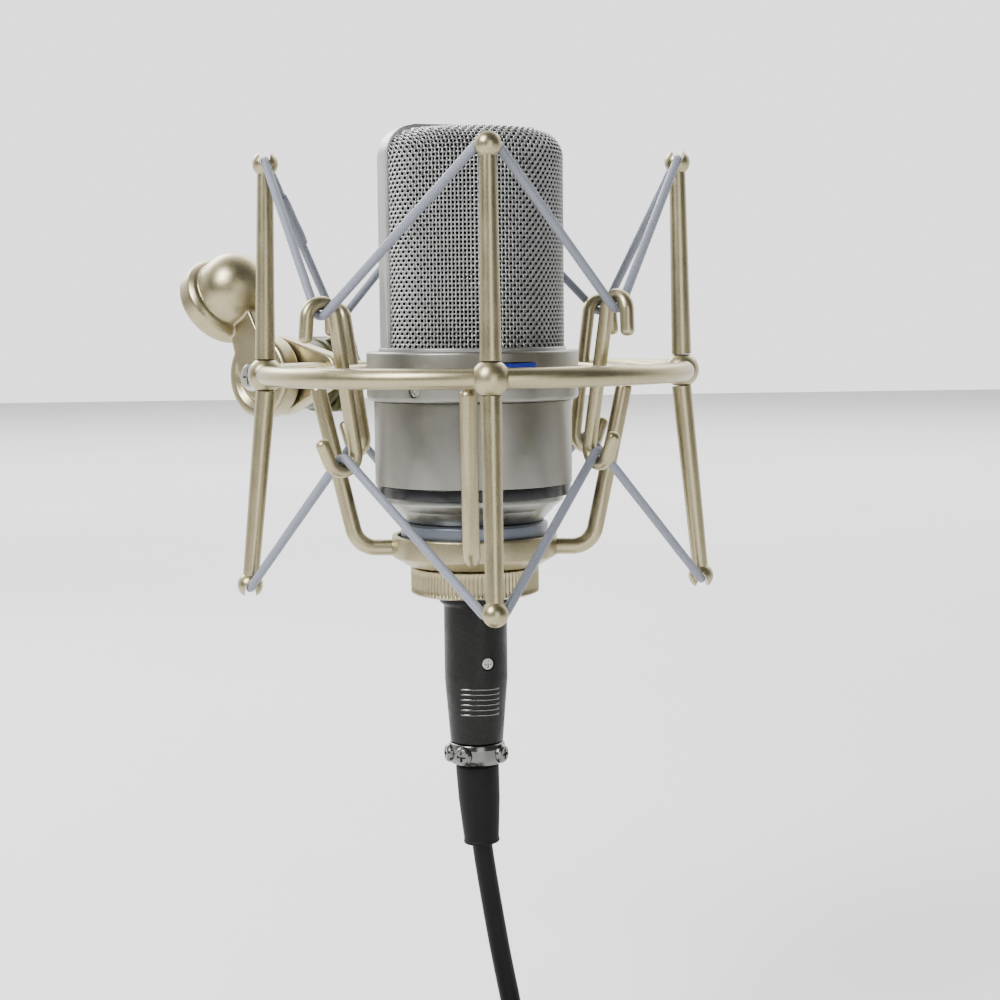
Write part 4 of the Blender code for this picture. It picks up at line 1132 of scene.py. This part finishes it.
def make_microphone():
    matrix = mic_matrix()
    make_grille(matrix)
    collar = [(COLLAR_R, 6.9, 0.8), (COLLAR_R, -8.4, 1.5), (29.7, -8.4), (29.7, 6.6), (31.2, 6.9)]
    collar = lathe("collar_turned", collar, matrix, 160, closed=True)
    holes = []
    for i in range(3):
        angle = math.radians(COLLAR_SCREW_TURN + 120 * i)
        place = facing_out(matrix, COLLAR_R, angle, COLLAR_SCREW_Z)
        holes.append(lathe("hole", [(0, 1), (1.9, 1), (1.9, -0.3), (1.25, -2.6), (0, -2.6)], place, 40))
        screw = phillips(f"collar_screw_{i + 1}_head", place @ Matrix.Translation((0, 0, -0.35 * MM)), 1.65)
        dress(screw, "steel", "cradle", [f"collar_screw_{i + 1}"])
    face = matrix @ Matrix.Rotation(math.pi / 2, 4, "X")
    holes.append(block("recess", (-8.2, -2.8, 32.3), (8.2, 3.8, 36), face, 0.4))
    boolean(collar, holes, sharp=38)
    dress(collar, "nickel", "cradle", ["collar"])
    plaque = block("badge_enamel", (-7.9, -2.5, 31.7), (7.9, 3.5, 33.05), face, 0.3)
    dress(plaque, "enamel", "cradle", ["badge"])

    for name, profile, material, node in (
        ("body_tube", BODY_TUBE, "nickel", "mic_body"),
        ("body_gloss_band", GLOSS_BAND, "gloss", "body_band"),
        ("body_lip", LIP, "lip", "body_base"),
    ):
        dress(lathe(name, profile, matrix, 160, closed=True), material, "cradle", [node])
    dress(lathe("body_stem", STEM, matrix, 128, closed=True), "stem", "cradle", ["body_base"])


# ---------------------------------------------------------------- connector and lead

CONNECTOR_YAW, SHELL_SCREW_TURN = math.radians(10), math.radians(-98)
GRIP_BARS, GRIP_TOP, GRIP_PITCH, GRIP_HALF, GRIP_TURN = 6, -99.5, 1.66, 6.3, math.radians(-112.5)
CLAMP_HIGH, CLAMP_LOW, CLAMP_SCREWS = -117.8, -124.4, (-150, -62, 163)
BOOT_TOP, BOOT_LENGTH, BOOT_LEAN = -124.7, 26.2, math.radians(2.6)
CABLE_R = 3.25
COIL_PITCH, COIL_LAYERS, COIL_COLUMNS = 6.6, 3, 4
COIL_MEAN, COIL_TOP = 38.5, -230.0
COIL_CENTRE = (-35.8, -47.4)
FLOOR = COIL_TOP - COIL_LAYERS * COIL_PITCH
CABLE_ROUTE = [  # mm from the ring's centre, from the boot down to the coil, over its top and in
    (0.4, 0.0, -151.2),
    (1.0, -0.1, -156.0),
    (3.1, -0.3, -169.9),
    (6.0, -1.0, -187.6),
    (9.0, -2.8, -203.6),
    (11.4, -10.5, -216.5),
    (12.6, -25.0, -224.5),
    (12.4, -41.0, -226.35),
    (8.0, -63.3, -226.35),
    (-8.9, -79.4, -226.35),
    (-29.5, -82.9, -226.35),
    (-44.0, -77.9, -226.35),
    (-53.3, -70.3, -226.35),
]
TAIL_ROUTE = [  # from the outermost turn to the plug, with heights over the floor
    (-36.2, 8.25, 3.6),
    (-28.0, 13.0, 3.6),
    (-20.5, 16.9, 3.7),
    (-5.2, 20.9, 4.2),
    (10.8, 16.6, 5.8),
    (22.5, 4.9, 8.1),
    (26.7, -6.0, 9.5),
    (26.8, -11.1, 9.7),
]


def make_connector():
    matrix = mic_matrix() @ Matrix.Rotation(CONNECTOR_YAW, 4, "Z")
    shell = [
        (7.9, -58.5, 0.3), (7.9, -70.1), (11.4, -70.1, 0.4), (11.4, -72.4, 0.5), (10.05, -73.6, 0.6),
        (10.05, -97.0, 12), (8.4, -117.5, 0.3), (4.0, -117.5), (4.0, -74.0), (7.2, -74.0), (7.2, -58.5),
    ]
    shell = lathe("xlr_shell", shell, matrix, 128, closed=True, corner=6)
    pocket = block("pocket", (-3.3, 5.8, -87.3), (3.3, 12, -76.7), matrix, 0.4)
    place = facing_out(matrix, 9.75, SHELL_SCREW_TURN, -91.4)
    hole = lathe("hole", [(0, 1), (2.2, 1), (2.2, -1.1), (0, -1.1)], place, 40)
    boolean(shell, [pocket, hole], sharp=40)
    dress(shell, "shell", "cradle", ["connector_shell"])
    screw = phillips("xlr_shell_screw", place @ Matrix.Translation((0, 0, -0.1 * MM)), 2.05)
    dress(screw, "steel", "cradle")
    latch = block("xlr_latch", (-3.0, 7.5, -87.0), (3.0, 10.8, -77.0), matrix, 0.5)
    grooves = [
        block("groove", (-4, 10.4, z - 0.35), (4, 11.4, z + 0.35), matrix, 0.1)
        for z in (-84.5, -82.5, -80.5)
    ]
    boolean(latch, grooves)
    dress(latch, "steel", "latch_button", ["latch_button"])
    make_grip(matrix)
    make_clamp(matrix)


def make_grip(matrix):
    """Raised bare-metal grip bars below the shell's screw."""
    bars = []
    for k in range(GRIP_BARS):
        z = GRIP_TOP - k * GRIP_PITCH
        radius = 9.95 - (-97 - z) * 0.08
        half = GRIP_HALF / radius
        path = [matrix @ polar(radius, GRIP_TURN - half + 2 * half * t / 16, z) for t in range(17)]
        bars.append(tube("bar", path, 0.36 * MM, 10))
    dress(join("xlr_grip_bars", bars), "chrome", "cradle")


def make_clamp(matrix):
    high, low = CLAMP_HIGH, CLAMP_LOW
    ring = [
        (8.7, high, 0.5), (9.1, high - 1.6, 0.6), (9.1, low + 1.6, 0.6), (8.5, low, 0.5), (4.2, low),
        (4.2, high),
    ]
    dress(lathe("clamp_ring", ring, matrix, 96, closed=True), "chrome", "cradle", ["cable_clamp"])
    for i, angle in enumerate(CLAMP_SCREWS):
        place = facing_out(matrix, 6.5, math.radians(angle), (high + low) / 2)
        boss = [(0, 3.9), (2.3, 3.9, 0.5), (3.0, 3.0, 0.6), (3.0, 0), (0, 0)]
        boss = lathe(f"clamp_boss_{i + 1}", boss, place, 48)
        boolean(boss, cross(place, 0.45, 1.6, 3.0, 4.6, 0.08))
        dress(boss, "chrome", "cradle")


def boot(name, matrix):
    """A tapered strain relief with a rim at its wide end."""
    end = -BOOT_LENGTH
    profile = [
        (3.6, -0.2), (6.5, -0.2, 0.3), (6.9, -1.0, 0.3), (6.9, -2.0, 0.3), (6.6, -12.0),
        (5.6, end + 1.2, 0.3), (5.8, end + 0.9, 0.2), (5.7, end, 0.4), (3.3, end),
    ]
    return lathe(name, profile, matrix, 72, closed=True)


def eased(value, low, high):
    """0 to 1 as value goes from low to high, a little slower at both ends."""
    t = min(max((value - low) / (high - low), 0), 1)
    return t * t * (3 - 2 * t) * 0.4 + t * 0.6


def coil_points():
    """The turns, wound clockwise from the innermost of the top layer to the outermost of the bottom one.

    Each layer's turns step sideways in one sector and drop to the next layer in the sector after it,
    so that no two turns meet.
    """
    first, leave = math.radians(-127.4), 112.6  # where the winding starts, and where it has to end
    columns = [COIL_MEAN + (c - (COIL_COLUMNS - 1) / 2) * COIL_PITCH for c in range(COIL_COLUMNS)]
    levels = [COIL_TOP - COIL_PITCH * (k + 0.5) for k in range(COIL_LAYERS)]
    steps, drops = [], [(0, 45, levels[0] - CABLE_ROUTE[-1][2])]
    at = 0
    for layer in range(COIL_LAYERS):
        way = 1 if layer % 2 == 0 else -1
        sector = 310 - 95 * layer
        for _ in range(COIL_COLUMNS - 1):
            at = sector + 360 * math.ceil((at - sector) / 360)
            steps.append((at, at + 50, way * COIL_PITCH))
            at += 50
        if layer < COIL_LAYERS - 1:
            drop = sector - 45
            at = drop + 360 * math.ceil((at - drop) / 360)
            drops.append((at, at + 45, -COIL_PITCH))
            at += 45
    last = leave + 360 * math.ceil((at - leave) / 360)
    points = []
    count = int(last / 10)
    for k in range(1, count + 1):
        angle = last * k / count
        radius = columns[0] + sum(by * eased(angle, low, high) for low, high, by in steps)
        height = CABLE_ROUTE[-1][2] + sum(by * eased(angle, low, high) for low, high, by in drops)
        turn = first - math.radians(angle)
        x, y = COIL_CENTRE[0] + radius * math.cos(turn), COIL_CENTRE[1] + radius * math.sin(turn)
        points.append((x, y, height))
    return points


def in_place(points):
    return [RING + Vector(p) * MM for p in points]


def make_lead():
    top = AXIS + Vector((0, 0, BOOT_TOP * MM))
    lean = Matrix.Translation(top) @ Matrix.Rotation(-BOOT_LEAN, 4, "Y")
    dress(boot("xlr_boot", lean), "rubber", "cradle", ["connector_boot"])

    hanging = spread(in_place(CABLE_ROUTE), 34)
    coil = in_place(coil_points())
    tail = spread(in_place([(x, y, FLOOR + z) for x, y, z in TAIL_ROUTE]), 22)
    curve = bpy.data.curves.new("xlr_cable", "CURVE")
    curve.dimensions = "3D"
    curve.bevel_depth = CABLE_R * MM
    curve.bevel_resolution = 6
    curve.use_fill_caps = True
    path = hanging + coil + tail
    spline = curve.splines.new("POLY")
    spline.points.add(len(path) - 1)
    for point, place in zip(spline.points, path):
        point.co = (*place, 1)
    spline.use_smooth = True
    cable = new_object("xlr_cable", curve)
    dress(cable, "jacket", "cradle", ["cable", "cable_coil", "cable_tail"])

    end = tail[-1]
    way = Vector((0, -1, 0))
    wide = end + way * (BOOT_LENGTH + 0.3) * MM
    plug_boot = boot("plug_boot_ribbed", along(wide, wide + way))
    dress(plug_boot, "rubber", "cradle", ["plug_boot"])
    shell_frame = along(wide + way * 0.3 * MM, wide + way * 1.3 * MM)
    shell = [
        (7.9, 64.0, 0.2), (8.9, 64.0, 0.3), (9.5, 62.8, 0.5), (9.5, 20.0, 10), (8.4, 0, 0.4), (4.0, 0),
        (4.0, 43.0), (7.9, 43.0),
    ]
    shell = lathe("plug_shell_turned", shell, shell_frame, 96, closed=True)
    dress(shell, "shell", "cradle", ["plug_shell"])
    insert = [(0, 47.5), (7.7, 47.5, 0.3), (7.7, 43.3), (0, 43.3)]
    insert = lathe("plug_insert_base", insert, shell_frame, 48)
    dress(insert, "plastic", "cradle", ["plug_insert"])
    pins = []
    for i in range(3):
        a = math.radians(90 + 120 * i)
        place = shell_frame @ Matrix.Translation(polar(3.5, a, 0))
        pins.append(lathe("pin", [(0, 59.0), (1.2, 59.0, 0.6), (1.2, 47.0), (0, 47.0)], place, 24))
    pins = dress(join("plug_pins", pins), "chrome", "cradle", ["plug_insert"])
    tie = make_tie()


def make_tie():
    """A hook-and-loop strap that holds the coil's turns together."""
    azimuth = math.radians(215)
    half_width = (COIL_COLUMNS - 1) / 2 * COIL_PITCH + CABLE_R
    centre = RING + Vector((*COIL_CENTRE, (FLOOR + COIL_TOP) / 2)) * MM + polar(COIL_MEAN, azimuth)
    upright = Matrix.Rotation(azimuth, 4, "Z") @ Matrix.Rotation(math.pi / 2, 4, "X")
    turn = Matrix.Translation(centre) @ upright
    w, h = half_width + 0.1, (COIL_TOP - FLOOR) / 2

    def rounded(half, low, high, radius):
        corners = [(-half, low), (half, low), (half, high), (-half, high)]
        return fillet([(*corner, radius) for corner in corners], True)

    band = plate("coil_tie", rounded(w + 1.0, -h, h + 1.0, 2.5), 11, turn, 0.2, 1)
    boolean(band, [plate("tie_hole", rounded(w, -h + 0.6, h, 2), 16, turn, 0.001, 0)])
    return dress(band, "plastic", "cradle")


# ---------------------------------------------------------------- hidden pieces

def dress_inside():
    dress_nodes("brass", "capsule_body")
    dress_nodes("gold", "diaphragm_front", "diaphragm_back")
    dress_nodes("plastic", "capsule_post", "xlr_insert", "connector_insert")
    dress_nodes("steel", "chassis_frame", "output_transformer")
    dress_nodes("board", "circuit_board")


# ---------------------------------------------------------------- studio

def area_light(name, place, target, size, power):
    data = bpy.data.lights.new(name, "AREA")
    data.shape = "RECTANGLE"
    data.size, data.size_y = size
    data.energy = power
    lamp = bpy.data.objects.new(name, data)
    bpy.context.scene.collection.objects.link(lamp)
    lamp.matrix_world = along(target, place)
    lamp.location = place


WORLD_FRONT, WORLD_BACK = 0.16, 2.1  # the sky's strength behind the camera and behind the microphone
FLOOR_HALF, FLOOR_GAP = 6, 0.0004
BACKDROP = RING + Vector((0, 2.6, 0))
# name, place, what it points at, size and power
LIGHTS = [
    ("key", RING + Vector((-0.75, -0.65, 0.80)), RING, (0.45, 0.6), 26),
    ("fill", RING + Vector((0.2, -1.0, 0.05)), RING, (0.5, 0.7), 3.0),
    ("rim", RING + Vector((-0.5, 0.9, 0.6)), RING, (0.6, 0.5), 8),
    ("backdrop", BACKDROP + Vector((0, 0, 1.6)), BACKDROP, (5.0, 3.0), 150),
]


def make_studio():
    form = bmesh.new()
    bmesh.ops.create_grid(form, x_segments=1, y_segments=1, size=FLOOR_HALF)
    mesh = from_form("floor", form)
    floor = new_object("floor", mesh)
    floor.location = (RING.x, RING.y, RING.z + FLOOR * MM - FLOOR_GAP)
    n = Nodes("pale_floor")
    tone = n.noise(400, 2)
    mesh.materials.append(
        n.finish(n.ramp(tone, [(0.3, (0.86, 0.86, 0.86)), (0.7, (0.90, 0.90, 0.90))]), 0.8)
    )

    world = bpy.data.worlds.new("studio")
    bpy.context.scene.world = world
    world.use_nodes = True
    tree = world.node_tree
    background = tree.nodes["Background"]
    coords = tree.nodes.new("ShaderNodeTexCoord")
    parts = tree.nodes.new("ShaderNodeSeparateXYZ")
    tree.links.new(coords.outputs["Generated"], parts.inputs[0])
    ramp = tree.nodes.new("ShaderNodeMapRange")
    ramp.interpolation_type = "SMOOTHSTEP"
    limits = {"From Min": -0.15, "From Max": 0.65, "To Min": WORLD_FRONT, "To Max": WORLD_BACK}
    for name, value in limits.items():
        ramp.inputs[name].default_value = value
    tree.links.new(parts.outputs["Y"], ramp.inputs["Value"])
    tree.links.new(ramp.outputs["Result"], background.inputs["Strength"])
    background.inputs["Color"].default_value = (1, 1, 1, 1)
    for light in LIGHTS:
        area_light(*light)


CAMERA_LENS = 68.5
CAMERA_YAW, CAMERA_PITCH, CAMERA_ROLL = math.radians(4.48), math.radians(5.43), math.radians(-0.61)
CAMERA_PLACE = Vector((0.00735, -0.600, 0.0166))  # metres from the ring's centre, before the yaw


def make_camera():
    """The camera stands in front, a little above the ring, and looks slightly down."""
    data = bpy.data.cameras.new("camera")
    data.lens = CAMERA_LENS
    data.sensor_width = 36
    data.clip_start = 0.01
    camera = bpy.data.objects.new("camera", data)
    bpy.context.scene.collection.objects.link(camera)
    turn = Matrix.Rotation(-CAMERA_YAW, 4, "Z")
    pitch = Matrix.Rotation(math.pi / 2 - CAMERA_PITCH, 4, "X")
    roll = Matrix.Rotation(CAMERA_ROLL, 4, "Z")
    camera.matrix_world = Matrix.Translation(RING + turn @ CAMERA_PLACE) @ turn @ pitch @ roll
    bpy.context.scene.camera = camera


make_camera()
make_lead()
make_outer_frame()
make_cradle()
make_bands()
make_swivel()
make_microphone()
make_connector()
dress_inside()
make_studio()
